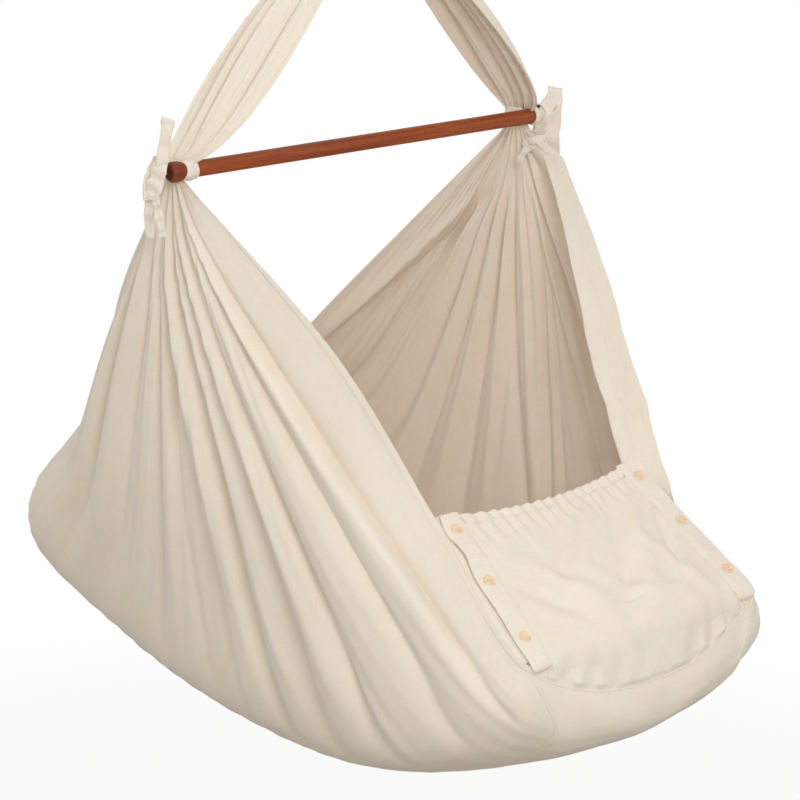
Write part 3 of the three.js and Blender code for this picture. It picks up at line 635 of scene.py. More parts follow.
# Line between rim and keel: share of the way to the keel along X, of the rim's Y, and of the way along Z
TURN_SHARES = (0.6, 0.72, 0.66)
RIM_STEP, KEEL_STEP = 3, 5
SEAM_FANS = (0, 0.125, 0.22, 0.62, 0.79, 0.9, 1)
SEAM_SHARES = (0, 0.3, 0.3, 0.3, 0.6, 0.45, 0)
HEAD_SEAM, GUSSET_SEAM = 6 / 48, 38 / 48
PROBE = 0.004
NECK_TURN = 0.2

FOOT_CORNER = flap_point(0, -FLAP_LOW_HALF, -UNDER_FLAP)
FLAP_CORNER = flap_point(FLAP_LENGTH, -FLAP_TOP_HALF, -UNDER_FLAP)
FOOT_KEEL = flap_point(0, 0, -UNDER_FLAP)
OUTWARD = np.array([0.0, -1.0, 0.0])


def reach_x(share):
    return share * np.where(share < 0, HEAD_REACH, FOOT_REACH)


def pulls(table):
    return np.array([(x * END_PULL, -y * SIDE_BOW, z * END_PULL) for x, y, z in table])


def neck_points(fan):
    fan = np.asarray(fan, float)
    x = -WAIST_SETBACK + (fan - 0.5) * WAIST_WIDTH
    return np.stack([x, 0 * fan + WAIST_Y, 0 * fan - BAR_DROP - NECK_DROP], -1)


def cloth_lines(fan):
    """Points that each line of the cloth passes through, from the waist over the keel."""
    rim = np.array([(reach_x(x), -y * HALF_WIDTH, -BAR_DROP - z * DEPTH) for x, y, z in RIM])
    keel = np.array([(reach_x(x), 0, -BAR_DROP - z * DEPTH) for x, z in KEEL])
    last_pull = FLAP_CORNER - (neck_points(1) + LOW_SHARE * (FOOT_CORNER - neck_points(1)))
    rim = catmull(np.vstack([rim, FOOT_CORNER]), fan)
    keel = catmull(np.vstack([keel, FOOT_KEEL]), fan)
    neck = neck_points(fan)
    middle = neck + MIDDLE_SHARE * (rim - neck) + catmull(pulls(MIDDLE), fan)
    low = neck + LOW_SHARE * (rim - neck) + catmull(np.vstack([pulls(LOW), last_pull]), fan)
    a, b, c = TURN_SHARES
    drop = keel - rim
    turn = np.stack([rim[:, 0] + a * drop[:, 0], rim[:, 1] * b, rim[:, 2] + c * drop[:, 2]], 1)
    return [neck, middle, low, rim, turn, keel, mirrored(turn)]


def bare_surface(fan, step):
    """Unfolded cloth, its way out and its length per unit of fan, for n fan places and (n, m) steps."""
    low, high = np.maximum(fan - PROBE, 0), np.minimum(fan + PROBE, 1)
    here = centripetal(cloth_lines(fan), step)
    along = centripetal(cloth_lines(high), step) - centripetal(cloth_lines(low), step)
    lower = centripetal(cloth_lines(fan), step + PROBE)
    upper = centripetal(cloth_lines(fan), np.maximum(step - PROBE, 0))
    normal = unit(-np.cross(along, lower - upper))
    share = ease(step, 0, NECK_TURN)[..., None]
    spacing = np.linalg.norm(along, axis=-1) / (high - low)[:, None]
    return here, unit(OUTWARD * (1 - share) + normal * share), spacing


def seam_step(fan):
    return RIM_STEP + (KEEL_STEP - RIM_STEP) * np.interp(fan, SEAM_FANS, SEAM_SHARES)


# Folds: depth in millimetres (out of the cradle is positive), half width in the fan, the steps where the fold
# begins and is gone, and its run as steps and the fan places at the first of them

UPPER_STEPS = (0.02, 0.2, 0.3, 0.5, 0.8, 1.2, 1.6, 2.0, 2.4, 2.8)
LONG_STEPS = (0.02, 0.2, 0.6, 1.0, 1.8, 2.6)
HEAD_STEPS = (0.02, 0.2, 0.4, 0.6, 0.9, 1.5, 2.2, 2.6)
HEM_STEPS = (0.02, 0.2, 0.4, 0.8, 1.4, 2.2, 2.8)
INNER_STEPS = (0.1, 0.5, 1.0, 1.6, 2.2)
INNER_FINE_STEPS = (0.1, 0.5, 0.8, 1.2, 1.6, 2.2)
NEAR_FOLDS = [
    (-21, 0.0115, 0, 3.3, (0.02, 0.2, 0.35, 0.55, 0.8, 1.2, 1.6, 2.0, 2.3, 2.6, 2.95),
     (0.5, 0.72, 0.835, 0.875, 0.893, 0.903, 0.912, 0.921, 0.915, 0.9, 0.878)),
    (9, 0.019, 0, 3.2, UPPER_STEPS, (0.47, 0.69, 0.79, 0.838, 0.868, 0.88, 0.888, 0.893, 0.885, 0.868)),
    (-14, 0.0115, 0, 3.4, UPPER_STEPS, (0.43, 0.645, 0.755, 0.81, 0.843, 0.85, 0.852, 0.845, 0.832, 0.812)),
    (5, 0.024, 0, 2.8, (0.02, 0.2, 0.3, 0.5, 0.8, 1.2, 2.0, 2.8),
     (0.41, 0.61, 0.715, 0.765, 0.795, 0.808, 0.8, 0.772)),
    (-17, 0.0125, 0, 3.7, UPPER_STEPS, (0.37, 0.54, 0.63, 0.7, 0.74, 0.76, 0.764, 0.757, 0.742, 0.722)),
    (8, 0.021, 0, 3.2, (0.02, 0.2, 0.3, 0.5, 0.8, 1.2, 1.6, 2.0, 2.8),
     (0.35, 0.51, 0.58, 0.655, 0.703, 0.724, 0.729, 0.721, 0.693)),
    (-16, 0.0135, 0, 3.6, UPPER_STEPS, (0.32, 0.475, 0.54, 0.615, 0.664, 0.688, 0.689, 0.68, 0.665, 0.648)),
    (8, 0.017, 0, 3.2, (0.02, 0.2, 0.3, 0.5, 0.8, 1.2, 1.6, 2.0, 2.8),
     (0.3, 0.45, 0.51, 0.58, 0.628, 0.648, 0.65, 0.642, 0.622)),
    (-17, 0.011, 0, 3.6, (0.02, 0.2, 0.4, 0.65, 0.95, 1.4, 1.8, 2.4, 2.9),
     (0.28, 0.42, 0.505, 0.552, 0.596, 0.61, 0.608, 0.602, 0.597)),
    (12, 0.023, 0, 3.3, (0.02, 0.2, 0.4, 0.6, 0.95, 1.4, 1.9, 2.4, 2.9),
     (0.26, 0.39, 0.468, 0.512, 0.555, 0.58, 0.588, 0.585, 0.58)),
    (-9, 0.02, 0, 2.8, (0.02, 0.2, 0.4, 0.6, 1.2, 1.7, 2.3), (0.24, 0.36, 0.43, 0.474, 0.525, 0.553, 0.556)),
    (5, 0.018, 0, 3.0, LONG_STEPS, (0.225, 0.335, 0.45, 0.465, 0.475, 0.48)),
    (-6.5, 0.0085, 0, 3.2, LONG_STEPS, (0.21, 0.32, 0.422, 0.44, 0.445, 0.45)),
    (5, 0.02, 0, 3.0, (0.02, 0.2, 0.6, 1.2, 1.8, 2.6), (0.2, 0.305, 0.39, 0.4, 0.405, 0.41)),
    (-4, 0.009, 0.8, 3.3, (1.0, 1.6, 2.5), (0.49, 0.505, 0.52)),
    (-4.5, 0.01, 0, 3.0, (0.02, 0.2, 0.6, 1.2, 2.2), (0.185, 0.285, 0.352, 0.356, 0.36)),
    (-12, 0.013, 0, 3.1, HEAD_STEPS, (0.15, 0.225, 0.25, 0.262, 0.273, 0.283, 0.293, 0.298)),
    (9, 0.024, 0, 2.9, HEAD_STEPS, (0.17, 0.25, 0.285, 0.295, 0.305, 0.315, 0.325)),
    (-5, 0.017, 0, 2.6, HEM_STEPS, (0.12, 0.17, 0.19, 0.2, 0.21, 0.225, 0.24)),
    (4, 0.02, 0, 2.5, HEM_STEPS, (0.135, 0.195, 0.22, 0.235, 0.245, 0.26)),
    (-5, 0.016, 0, 2.5, HEM_STEPS, (0.08, 0.115, 0.128, 0.135, 0.14, 0.155, 0.175)),
    (4, 0.02, 0, 2.4, HEM_STEPS, (0.1, 0.142, 0.16, 0.168, 0.175, 0.19)),
    (-5, 0.015, 0, 2.4, HEM_STEPS, (0.05, 0.07, 0.078, 0.075, 0.075, 0.085, 0.105)),
    (4, 0.018, 0, 2.4, HEM_STEPS, (0.03, 0.045, 0.05, 0.045, 0.04, 0.045)),
]
FAR_FOLDS = [
    (9, 0.022, 0.25, 3.2, (0.1, 0.35, 0.5, 0.7, 1.0, 1.3, 1.7, 2.3),
     (0.36, 0.3, 0.26, 0.205, 0.14, 0.105, 0.072, 0.05)),
    (-9, 0.02, 0.3, 2.8, (0.1, 0.4, 0.6, 0.8, 1.1, 1.5, 2.0), (0.3, 0.215, 0.155, 0.118, 0.088, 0.058, 0.04)),
    (6, 0.012, 0.3, 3.2, INNER_FINE_STEPS, (0.38, 0.305, 0.308, 0.305, 0.305, 0.302)),
    (-5, 0.014, 0.3, 3.0, INNER_STEPS, (0.4, 0.33, 0.333, 0.333, 0.336)),
    (6, 0.012, 0.3, 3.2, (0.1, 0.5, 0.9, 1.4, 1.9, 2.4), (0.42, 0.352, 0.36, 0.361, 0.37, 0.39)),
    (-5, 0.016, 0.3, 3.0, INNER_STEPS, (0.44, 0.39, 0.398, 0.405, 0.425)),
    (7, 0.013, 0.3, 3.2, (0.1, 0.5, 0.9, 1.2, 1.6, 2.0, 2.4),
     (0.46, 0.43, 0.437, 0.436, 0.445, 0.458, 0.472)),
    (-5, 0.016, 0.3, 3.0, INNER_STEPS, (0.48, 0.466, 0.475, 0.488, 0.512)),
    (7, 0.013, 0.3, 3.2, (0.1, 0.4, 0.8, 1.1, 1.5, 2.0, 2.4), (0.5, 0.5, 0.508, 0.522, 0.543, 0.565, 0.58)),
    (-5, 0.015, 0.3, 3.0, INNER_STEPS, (0.54, 0.56, 0.565, 0.578, 0.596)),
    (9, 0.0105, 0.3, 3.2, (0.1, 0.4, 0.7, 1.0, 1.4, 1.9, 2.4), (0.58, 0.635, 0.63, 0.608, 0.603, 0.6, 0.61)),
    (5, 0.009, 0.6, 3.0, (0.6, 1.1, 1.5, 2.2), (0.655, 0.64, 0.632, 0.63)),
    (7, 0.009, 0.4, 3.0, INNER_FINE_STEPS, (0.62, 0.655, 0.668, 0.685, 0.698, 0.71)),
    (-7, 0.014, 0.3, 1.6, (0.1, 0.4, 0.7, 1.0, 1.4), (0.64, 0.685, 0.69, 0.7, 0.715)),
    (14, 0.0165, 0, 3.2, (0.02, 0.2, 0.35, 0.6, 1.0, 1.4, 1.8, 2.4),
     (0.48, 0.66, 0.714, 0.725, 0.738, 0.752, 0.765, 0.78)),
    (-9, 0.022, 0, 3.0, (0.02, 0.2, 0.5, 1.0, 1.5, 2.2), (0.55, 0.72, 0.768, 0.783, 0.79, 0.795)),
    (13, 0.016, 0, 3.0, (0.02, 0.2, 0.3, 0.6, 0.9, 1.2, 1.6, 2.2),
     (0.62, 0.79, 0.832, 0.842, 0.838, 0.826, 0.815, 0.81)),
    (-6, 0.018, 0.2, 3.0, INNER_STEPS, (0.25, 0.255, 0.24, 0.23, 0.22)),
    (5, 0.016, 0.2, 3.0, INNER_STEPS, (0.2, 0.205, 0.195, 0.18, 0.165)),
]

# guides are the folds beside which the gathered threads run, each with the waist's share on its head side
Side = namedtuple("Side", "label folds scale guides seed far")
NEAR = Side("near", NEAR_FOLDS, 1.08, ((18, 0.17), (10, 0.36), (4, 0.53), (0, 0.68)), 11, False)
FAR = Side("far", FAR_FOLDS, 1.5, ((0, 0.33), (8, 0.5), (14, 0.62), (16, 0.74)), 23, True)

RUN_STEPS = np.linspace(-0.6, 5.6, 621)
RUN_SPREAD, RUN_REACH = 14, 40
NECK_REACH, NECK_SPREAD = 0.45, 0.5
RUNS = {}


def run_of(step, fold):
    """Fan place of a fold at each step: its run joined and smoothed, held beyond its ends."""
    key = fold[4:]
    if key not in RUNS:
        steps, places = key
        steps = steps[: len(places)]
        line = np.interp(RUN_STEPS, steps, places)
        anchor = np.interp(NECK_REACH, steps, places)
        line = np.where(RUN_STEPS < NECK_REACH, anchor + (line - anchor) * NECK_SPREAD, line)
        weights = bell(np.arange(-RUN_REACH, RUN_REACH + 1) / RUN_SPREAD)
        RUNS[key] = np.convolve(np.pad(line, RUN_REACH, "edge"), weights / weights.sum(), "valid")
    return np.interp(step, RUN_STEPS, RUNS[key])


RIPPLES = 7
# Ranges of a ripple's count in the fan, its phase, how far it wanders and how fast
RIPPLE_RANGES = ((14, 46), (0, 2 * np.pi), (0.4, 1.5), (0.6, 2.2))


def ripple(fan, step, seed):
    """Small uneven folds that run down the cloth: a few waves whose places wander with the step."""
    draws = np.random.default_rng(seed)
    total = np.zeros(np.broadcast(fan, step).shape)
    for _ in range(RIPPLES):
        count, phase, wander, sway = (draws.uniform(*span) for span in RIPPLE_RANGES)
        turn = 2 * np.pi * count * fan + phase + wander * np.sin(sway * step + phase * 2)
        total = total + np.cos(turn) * draws.uniform(0.35, 1.0)
    return total / 3


def crumples(u, v, seed, count, u_rates, v_rates, sizes):
    """Crumples about 1 high: a few waves that cross each other, drawn from ranges of rates and sizes."""
    draws = np.random.default_rng(seed)
    total = np.zeros(np.broadcast(u, v).shape)
    for _ in range(count):
        f, g = draws.uniform(*u_rates), draws.uniform(*v_rates)
        total = total + np.sin(f * u + g * v + draws.uniform(0, 6)) * draws.uniform(*sizes)
    return total / 3


FOLD_STEEPNESS, NECK_STEEPNESS = 2.4, 0.35
NECK_WIDTH = 1.5
VALLEY_POWER, RIDGE_POWER = 1.35, 1.7
FOLD_RISE, FOLD_FALL = 0.25, 1.1
HEM_FADE, HEM_FLAT = 0.03, 0.15
CALM_SPAN = (-0.02, 0.06)
FAR_EDGE = 0.862
FAR_FOOT_FLAT, FAR_FOOT_STEPS = 0.85, (2.1, 2.6)
WAIST_PLEATS, WAIST_PLEAT_DEPTH = 8, 2.7
RIPPLE_DEPTH, RIPPLE_CALM, RIPPLE_LEFT = 1.2, 0.35, 0.3
HEM_REACH, HEM_EDGE, HEM_DOUBLE = 0.012, 0.002, 0.7
GUSSET_CRUMPLE, SEAM_CRUMPLE, SEAM_CRUMPLE_REACH = 1.6, 0.5, 0.35


def fold_height(fan, step, side, spacing):
    """Height of the folds; where the runs lie close together, a fold is no deeper than it is wide."""
    height = np.zeros(np.broadcast(fan, step).shape)
    for fold in side.folds:
        shallow, width, begins, gone = fold[:4]
        depth = shallow * side.scale
        wide = width * (NECK_WIDTH + (1 - NECK_WIDTH) * ease(step, 0.1, 0.6))
        offset = np.abs(fan - run_of(step, fold)) / wide
        envelope = ease(step, begins - 0.1, begins + FOLD_RISE) * (1 - ease(step, gone - FOLD_FALL, gone))
        steepness = FOLD_STEEPNESS * (NECK_STEEPNESS + (1 - NECK_STEEPNESS) * ease(step, 0, 0.55))
        limit = abs(depth) * np.tanh(steepness * wide * spacing / abs(depth))
        section = np.exp(-(offset ** (VALLEY_POWER if depth < 0 else RIDGE_POWER)))
        height = height + math.copysign(1, depth) * limit * envelope * section
    if side.far:
        height = height * (1 - ease(fan, FAR_EDGE - HEM_FADE, FAR_EDGE) * ease(step, 0.15, 0.5))
        height = height * (1 - FAR_FOOT_FLAT * ease(step, *FAR_FOOT_STEPS) * ease(fan, 1 - HEM_FADE, 1))
        return height + pleat_height(fan, step, side, 1)
    hem = ease(fan, 0, HEM_FADE) * (1 - ease(fan, 1 - HEM_FADE, 1))
    run = run_of(step, side.folds[0])
    calm = 1 - ease(fan, run + CALM_SPAN[0], run + CALM_SPAN[1])
    return (height + pleat_height(fan, step, side, calm)) * (HEM_FLAT + (1 - HEM_FLAT) * hem)


def gathered_place(fan, step, side):
    """Place at the waist of the thread that passes here: threads run beside the folds, not across them."""
    bounds = [0 * step] + [run_of(step, side.folds[guide]) for guide, _ in side.guides] + [0 * step + 1]
    starts = (0, *(start for _, start in side.guides), 1)
    place = np.zeros(np.broadcast(fan, step).shape)
    for low, high, start, end in zip(bounds, bounds[1:], starts, starts[1:]):
        share = np.clip((fan - low) / np.maximum(high - low, 1e-3), 0, 1)
        place = place + share * (end - start)
    return place


def waist_wave(place):
    return np.cos(2 * np.pi * WAIST_PLEATS * place + 0.9 * np.sin(5 * np.pi * place))


def pleat_height(fan, step, side, calm):
    """Pleats at the waist, and the small folds that the gathering leaves lower down."""
    pleats = WAIST_PLEAT_DEPTH * waist_wave(gathered_place(fan, step, side))
    gathered = pleats * (1 - ease(step, 0.05, 0.7)) * (0.05 + 0.95 * calm)
    lively = RIPPLE_CALM + (1 - RIPPLE_CALM) * calm
    reach = RIPPLE_DEPTH * ease(step, 0.1, 0.6) * (1 - ease(step, 2.2, 4.6)) * lively + RIPPLE_LEFT * calm
    return gathered + ripple(fan, step, side.seed) * reach


def hem_height(fan):
    """The cloth is doubled along its head and foot hems."""
    head = 1 - ease(fan, HEM_REACH, HEM_REACH + HEM_EDGE)
    return HEM_DOUBLE * (head + ease(fan, 1 - HEM_REACH - HEM_EDGE, 1 - HEM_REACH))


def wrinkles(fan, step):
    """Crumpled cloth beside the gusset's seams and along the base seam."""
    near_gusset = ease(fan, 0.72, 0.9) * ease(step, 2.7, 3.3)
    near_seam = bell((step - seam_step(np.broadcast_to(fan, step.shape))) / SEAM_CRUMPLE_REACH)
    height = crumples(fan, step, 5, 9, (30, 90), (2, 9), (0.3, 1))
    return height * (GUSSET_CRUMPLE * near_gusset + SEAM_CRUMPLE * near_seam)


def cloth_surface(fan, step, side):
    """Folded outer face of half the cloth body, drawn on the near side, and its way out."""
    bare, normal, spacing = bare_surface(fan, step)
    if side.far:
        bare = bare + far_hem_shift(fan[:, None], step)
    wide = fan[:, None] + 0 * step
    height = fold_height(wide, step, side, spacing) + hem_height(wide) + wrinkles(wide, step)
    return bare + normal * height[..., None], normal


# The far front hem: how far it lies to the camera's right, and how wide its flat strip is; both directions
# are mirrored, since the far side is drawn on the near one
MIRRORED_RIGHT = np.array([0.669, -0.743, 0])
MIRRORED_NEAR = np.array([0.743, 0.669, 0])
HEM_SHIFT_STEPS = (0, 0.1, 0.2, 0.3, 0.45, 0.6, 0.8, 1.0, 1.2, 1.4, 1.6, 1.85, 2.1, 2.6)
HEM_SHIFTS = (10, 22, 22, 17, 11, 6, -1, -3, -1, 11, 27, 33, 31, 0)
STRIP_WIDTH_STEPS = (0, 0.3, 0.9, 1.5, 2.0, 2.5)
STRIP_WIDTHS = (10, 22, 41, 51, 49, 46)
STRIP_FORWARD, STRIP_CROWN = 7, 2.5
STRIP_STEPS = np.linspace(0, RIM_STEP, 121)


def far_hem_shift(fan, step):
    """The far front hem hangs as a flat strip: it is drawn straight, and its inner edge folds forward."""
    line = bare_surface(np.array([1.0]), STRIP_STEPS[None])[0][0]
    line = line + np.interp(STRIP_STEPS, HEM_SHIFT_STEPS, HEM_SHIFTS)[:, None] * MIRRORED_RIGHT
    hem = np.stack([np.interp(step, STRIP_STEPS, line[:, k]) for k in range(3)], -1)
    wide = np.interp(step, STRIP_WIDTH_STEPS, STRIP_WIDTHS)[..., None]
    edge = hem - wide * MIRRORED_RIGHT + STRIP_FORWARD * MIRRORED_NEAR
    across = np.clip((fan - FAR_EDGE) / (1 - FAR_EDGE), 0, 1)[..., None]
    strip = edge + across * (hem - edge) + np.sin(np.pi * across) * STRIP_CROWN * MIRRORED_NEAR
    fan = fan + 0 * step
    here = bare_surface(fan[:, 0], step)[0]
    turn = ease(fan, FAR_EDGE - HEM_FADE, FAR_EDGE)[..., None]
    hold = (ease(step, 0, 0.24) * (1 - ease(step, 2.0, 2.55)))[..., None]
    return (strip - here) * turn * hold


# Panels of the cloth body

FAN_COUNT, SIDE_STEPS, UNDER_STEPS = 420, 104, 60
SIDE_CROWDING = 1.6
NECK_START = 1.5
CRADLE_CENTRE = np.array([0, 0, -900])


def side_grid(side):
    hem = [0, 0.3 * HEM_REACH, 0.6 * HEM_REACH, HEM_REACH, HEM_REACH + HEM_EDGE / 2, HEM_REACH + HEM_EDGE]
    middle = np.linspace(HEM_REACH + 2 * HEM_EDGE, 1 - HEM_REACH - 2 * HEM_EDGE, FAN_COUNT)
    fan = np.concatenate([hem, middle, 1 - np.array(hem[::-1])])
    step = np.linspace(0, 1, SIDE_STEPS) ** SIDE_CROWDING * (seam_step(fan)[:, None])
    outer, _ = cloth_surface(fan, step, side)
    rise = np.linspace(NECK_DROP - SEAT_GAP / 2, NECK_START, 5)[None, :, None]
    outer = np.concatenate([outer[:, :1] + np.array([0, 0, 1]) * rise, outer], axis=1)
    return mirrored(outer) if side.far else outer


def under_grid(from_fan, to_fan, columns):
    """Lower panel from the near seam to the far one; the two halves meet at the keel."""
    fan = np.linspace(from_fan, to_fan, columns)
    seam = seam_step(fan)[:, None]
    step = seam + np.linspace(0, 1, UNDER_STEPS) * (KEEL_STEP - seam)
    near, _ = cloth_surface(fan, step, NEAR)
    far = mirrored(cloth_surface(fan, step, FAR)[0])
    middle = (near[:, -1:] + far[:, -1:]) / 2
    return np.concatenate([near[:, :-1], middle, far[:, -2::-1]], axis=1)


def outward_sheet(name, outer, node):
    """Panel of the cloth body, its grid turned so that its normals point out of the cradle."""
    if ((outer - CRADLE_CENTRE) * grid_normals(outer)).sum() < 0:
        outer = outer[::-1]
    return cloth_object(name, outer, LAYER, COTTON, "hammock", node)


near_side, far_side = side_grid(NEAR), side_grid(FAR)
gusset = under_grid(GUSSET_SEAM, 1, 150)
side_near_cloth = outward_sheet("side_cloth_near", near_side, "side_panel_near")
side_far_cloth = outward_sheet("side_cloth_far", far_side, "side_panel_far")
head_cloth = outward_sheet("head_end_cloth", under_grid(0, HEAD_SEAM, 90), "head_end_panel")
base_cloth = outward_sheet("base_cloth", under_grid(HEAD_SEAM, GUSSET_SEAM, 330), "base_panel")
gusset_cloth = outward_sheet("gusset_cloth", gusset, "foot_gusset")


# Seams, hems and stitches on the cloth body

STITCH_LENGTH, STITCH_GAP, STITCH_RADIUS = 2.6, 1.1, 0.33
STITCH_SHARES = np.array([0, 0.18, 0.5, 0.82, 1])
STITCH_RISE = np.array([-0.3, 0.5, 0.8, 0.5, -0.3]) * STITCH_RADIUS
STITCH_SIZES = STITCH_RADIUS * np.array([0.55, 0.95, 1, 0.95, 0.55])
STITCH_LIFT = 0.1
HEM_STITCH_FAN = HEM_REACH * 0.86
SEAM_REACH, SEAM_ROW, SEAM_ROW_LIFT = 3.2, 0.62, 0.62
# The band's section: share of its reach, and height over the cloth
SEAM_SECTION = ((-1, -0.5), (-0.9, 0.35), (-0.45, 0.62), (0, 0.7), (0.45, 0.62), (0.9, 0.35), (1, -0.5))


def resample(line, normals, spacing):
    """Evenly spaced places on a line, and the directions there."""
    lengths = np.concatenate([[0], np.cumsum(np.linalg.norm(np.diff(line, axis=0), axis=1))])
    at = np.linspace(0, lengths[-1], max(int(lengths[-1] / spacing), 2) + 1)
    places, facing = (
        np.stack([np.interp(at, lengths, values[:, k]) for k in range(3)], 1) for values in (line, normals)
    )
    return places, unit(facing)


def stitches(line, normals, lift):
    """Short raised threads along a line on the cloth."""
    pitch = STITCH_LENGTH + STITCH_GAP
    places, facing = resample(line, normals, pitch)
    rise = (STITCH_RISE + lift)[:, None]
    parts = []
    for a, b, up in zip(places, places[1:], facing):
        path = a + STITCH_SHARES[:, None] * (b - a) * (STITCH_LENGTH / pitch) + rise * up
        parts.append(tube(path, STITCH_SIZES, 6, 1.0, up))
    return merge(parts)


def stitch_piece(name, lines, body, more=()):
    """One piece of all the stitches on several lines, each given with its normals and lift."""
    points, faces = merge([stitches(*line) for line in lines] + list(more))
    return dress(mesh_object(name, points, faces, THREAD, sharp=80), body)


def surface_line(fan, step, side):
    """Line on the cloth's outer face, with its outward directions."""
    points, normals = cloth_surface(fan, step[:, None], side)
    points, normals = points[:, 0], normals[:, 0]
    return (mirrored(points), mirrored(normals)) if side.far else (points, normals)


def hem_lines(side):
    """Rows of stitches on both faces of the head and foot hems."""
    lines = []
    steps = np.linspace(0.35, 2.96, 260)
    for fan in (HEM_STITCH_FAN, 1 - HEM_STITCH_FAN):
        points, normals = surface_line(np.full(len(steps), fan), steps, side)
        lines.append((points, normals, STITCH_LIFT))
        lines.append((points - normals * LAYER, -normals, STITCH_LIFT))
    return lines


def add_body_seam(side):
    """Felled seam between the side and the panels below it, a flat raised band, and the body's stitches."""
    fan = np.linspace(0.02, 0.975, 420)
    points, normals = surface_line(fan, seam_step(fan), side)
    across = unit(np.cross(normals, unit(np.gradient(points, axis=0)))) * SEAM_REACH
    outer = np.stack([points + across * share + normals * lift for share, lift in SEAM_SECTION], 1)
    inner = outer - normals[:, None] * SEAM_LAYER
    rows = [(points + across * share, normals, SEAM_ROW_LIFT) for share in (-SEAM_ROW, SEAM_ROW)]
    band = cloth_object(f"base_seam_{side.label}", outer, LAYER, COTTON, "hammock", inner=inner)
    return band, stitch_piece(f"body_stitches_{side.label}", hem_lines(side) + rows, "hammock")


near_seam_pieces, far_seam_pieces = add_body_seam(NEAR), add_body_seam(FAR)


# Spreader bar and ring

KNOB_FACE, KNOB_SHOULDER = 0.54, 0.94
TURNED_FROM, TURNED_PITCH, TURNED_WAVE = 14, 41, 0.006
RING_CENTRE = np.array([0, 0, WIRE_RADIUS - RING_RADIUS])
# Angle, spread and height of the two humps of the ring's weld
WELDS = ((2.3, 0.05, 0.45), (2.38, 0.04, 0.3))


def bar_profile():
    """Radius and place of the bar's outline: chamfered knobs, and a shank that is a little uneven."""
    half = BAR_LENGTH / 2
    start = half - KNOB_LENGTH
    chamfer = KNOB_RADIUS - BAR_RADIUS
    end = [(0, half), (KNOB_RADIUS * KNOB_FACE, half), (KNOB_RADIUS * KNOB_SHOULDER, half - chamfer)]
    end += [(KNOB_RADIUS, half - KNOB_LENGTH / 2), (KNOB_RADIUS * KNOB_SHOULDER, start + chamfer)]
    end += [(BAR_RADIUS, start), (BAR_RADIUS, start - TURNED_FROM)]
    middle = []
    for k in range(1, 7):
        radius = BAR_RADIUS * (1 + TURNED_WAVE * math.sin(k * 1.7))
        middle.append((radius, start - TURNED_FROM - k * TURNED_PITCH))
    half_profile = rounded(end + middle, 0.38)
    return [(radius, -height) for radius, height in half_profile] + half_profile[::-1]


def add_bar():
    points, faces = lathe(bar_profile(), 56)
    points = points[:, [0, 2, 1]] * np.array([1, 1, -1]) + np.array([0, 0, -BAR_DROP])
    shown = mesh_object("wooden_bar", points, faces, WOOD, sharp=50)
    fix_normals(shown)
    return dress(shown, "hammock", "spreader_bar")


def add_ring():
    """Round wire bent to a ring and welded: the weld is a low uneven collar."""
    turns, angles = circle(128), circle(28)
    weld = sum(bell((turns - at) / spread) * height for at, spread, height in WELDS)
    size = (WIRE_RADIUS + weld)[:, None]
    reach = RING_RADIUS + size * np.cos(angles)
    lift = size * np.sin(angles)
    cosine, sine = np.cos(turns)[:, None], np.sin(turns)[:, None]
    points = np.stack([reach * cosine, lift, reach * sine], -1) + RING_CENTRE
    index = np.arange(lift.size).reshape(lift.shape)
    after, beside = np.roll(index, -1, 0), np.roll(index, -1, 1)
    faces = np.stack([index, after, np.roll(after, -1, 1), beside], -1).reshape(-1, 4)
    shown = mesh_object("steel_ring", points.reshape(-1, 3), faces.tolist(), STEEL, sharp=80)
    fix_normals(shown)
    return dress(shown, "hanger", "hanging_ring")


wooden_bar = add_bar()
steel_ring = add_ring()


# Crown and slings

CROWN_LEG, CROWN_HALF_ANGLE, CROWN_CLEARANCE = 24.0, math.radians(23), 1.0
CROWN_INNER = WIRE_RADIUS + CROWN_CLEARANCE
CROWN_OUTER = CROWN_INNER + CLOTH_THICKNESS
CROWN_SINK = CROWN_CLEARANCE - SEAT_GAP
# Depth, count and phase of the crown's folds
CROWN_FOLDS = ((0.75, 7, 0), (0.3, 16, 1))
SLING_RUN = -WAIST_Y
SLING_RISE = BAR_DROP - (2 * RING_RADIUS - WIRE_RADIUS)
SLING_LEAN = math.atan2(SLING_RUN, SLING_RISE)
SLING_BEND = math.pi / 2 - SLING_LEAN
SLING_HALF, SLING_BOW, SLING_DRIFT = 56.0, 22.0, 16.0
SLING_OPEN_POWER, SLING_FULL_POWER, SLING_LEAST_OPEN = 0.62, 0.8, 0.16
SLING_WAIST_RISE = BAR_RADIUS + 2 * TIE_RADIUS + 2 * SEAT_GAP
SLING_SETTLE = 12.0
SLING_COLUMNS, SLING_ROWS = 190, 130
SLING_RELIEF, SLING_HEM_RELIEF = 1.8, 0.3
SLING_SEAM_FROM, SLING_TOP_GAP = 0.93, 0.2
# Depth, place across the sling and half width of each long fold
SLING_FOLDS = [(5.0, 0.12, 0.07), (-5.5, 0.25, 0.05), (5.5, 0.38, 0.06), (-4.5, 0.5, 0.045), (5.0, 0.6, 0.05)]
SLING_FOLDS += [(-6.0, 0.72, 0.045), (5.0, 0.84, 0.06)]
SLING_WAVES, SLING_WAVE_DEPTH = (11, 17, 26), 9


def crown_points(share, along, radius):
    """Points of the cloth round the ring's lower wire, for shares across it and places along its run."""
    angle = (2 * share - 1) * CROWN_HALF_ANGLE
    turn = np.clip(along, -SLING_BEND * radius, SLING_BEND * radius) / radius
    leg = along - turn * radius
    across = np.sin(turn) * radius + np.cos(turn) * leg
    height = np.cos(turn) * radius - np.sin(turn) * leg - CROWN_SINK
    reach = RING_RADIUS - height
    return RING_CENTRE + np.stack([np.sin(angle) * reach, across + 0 * angle, -np.cos(angle) * reach], -1)


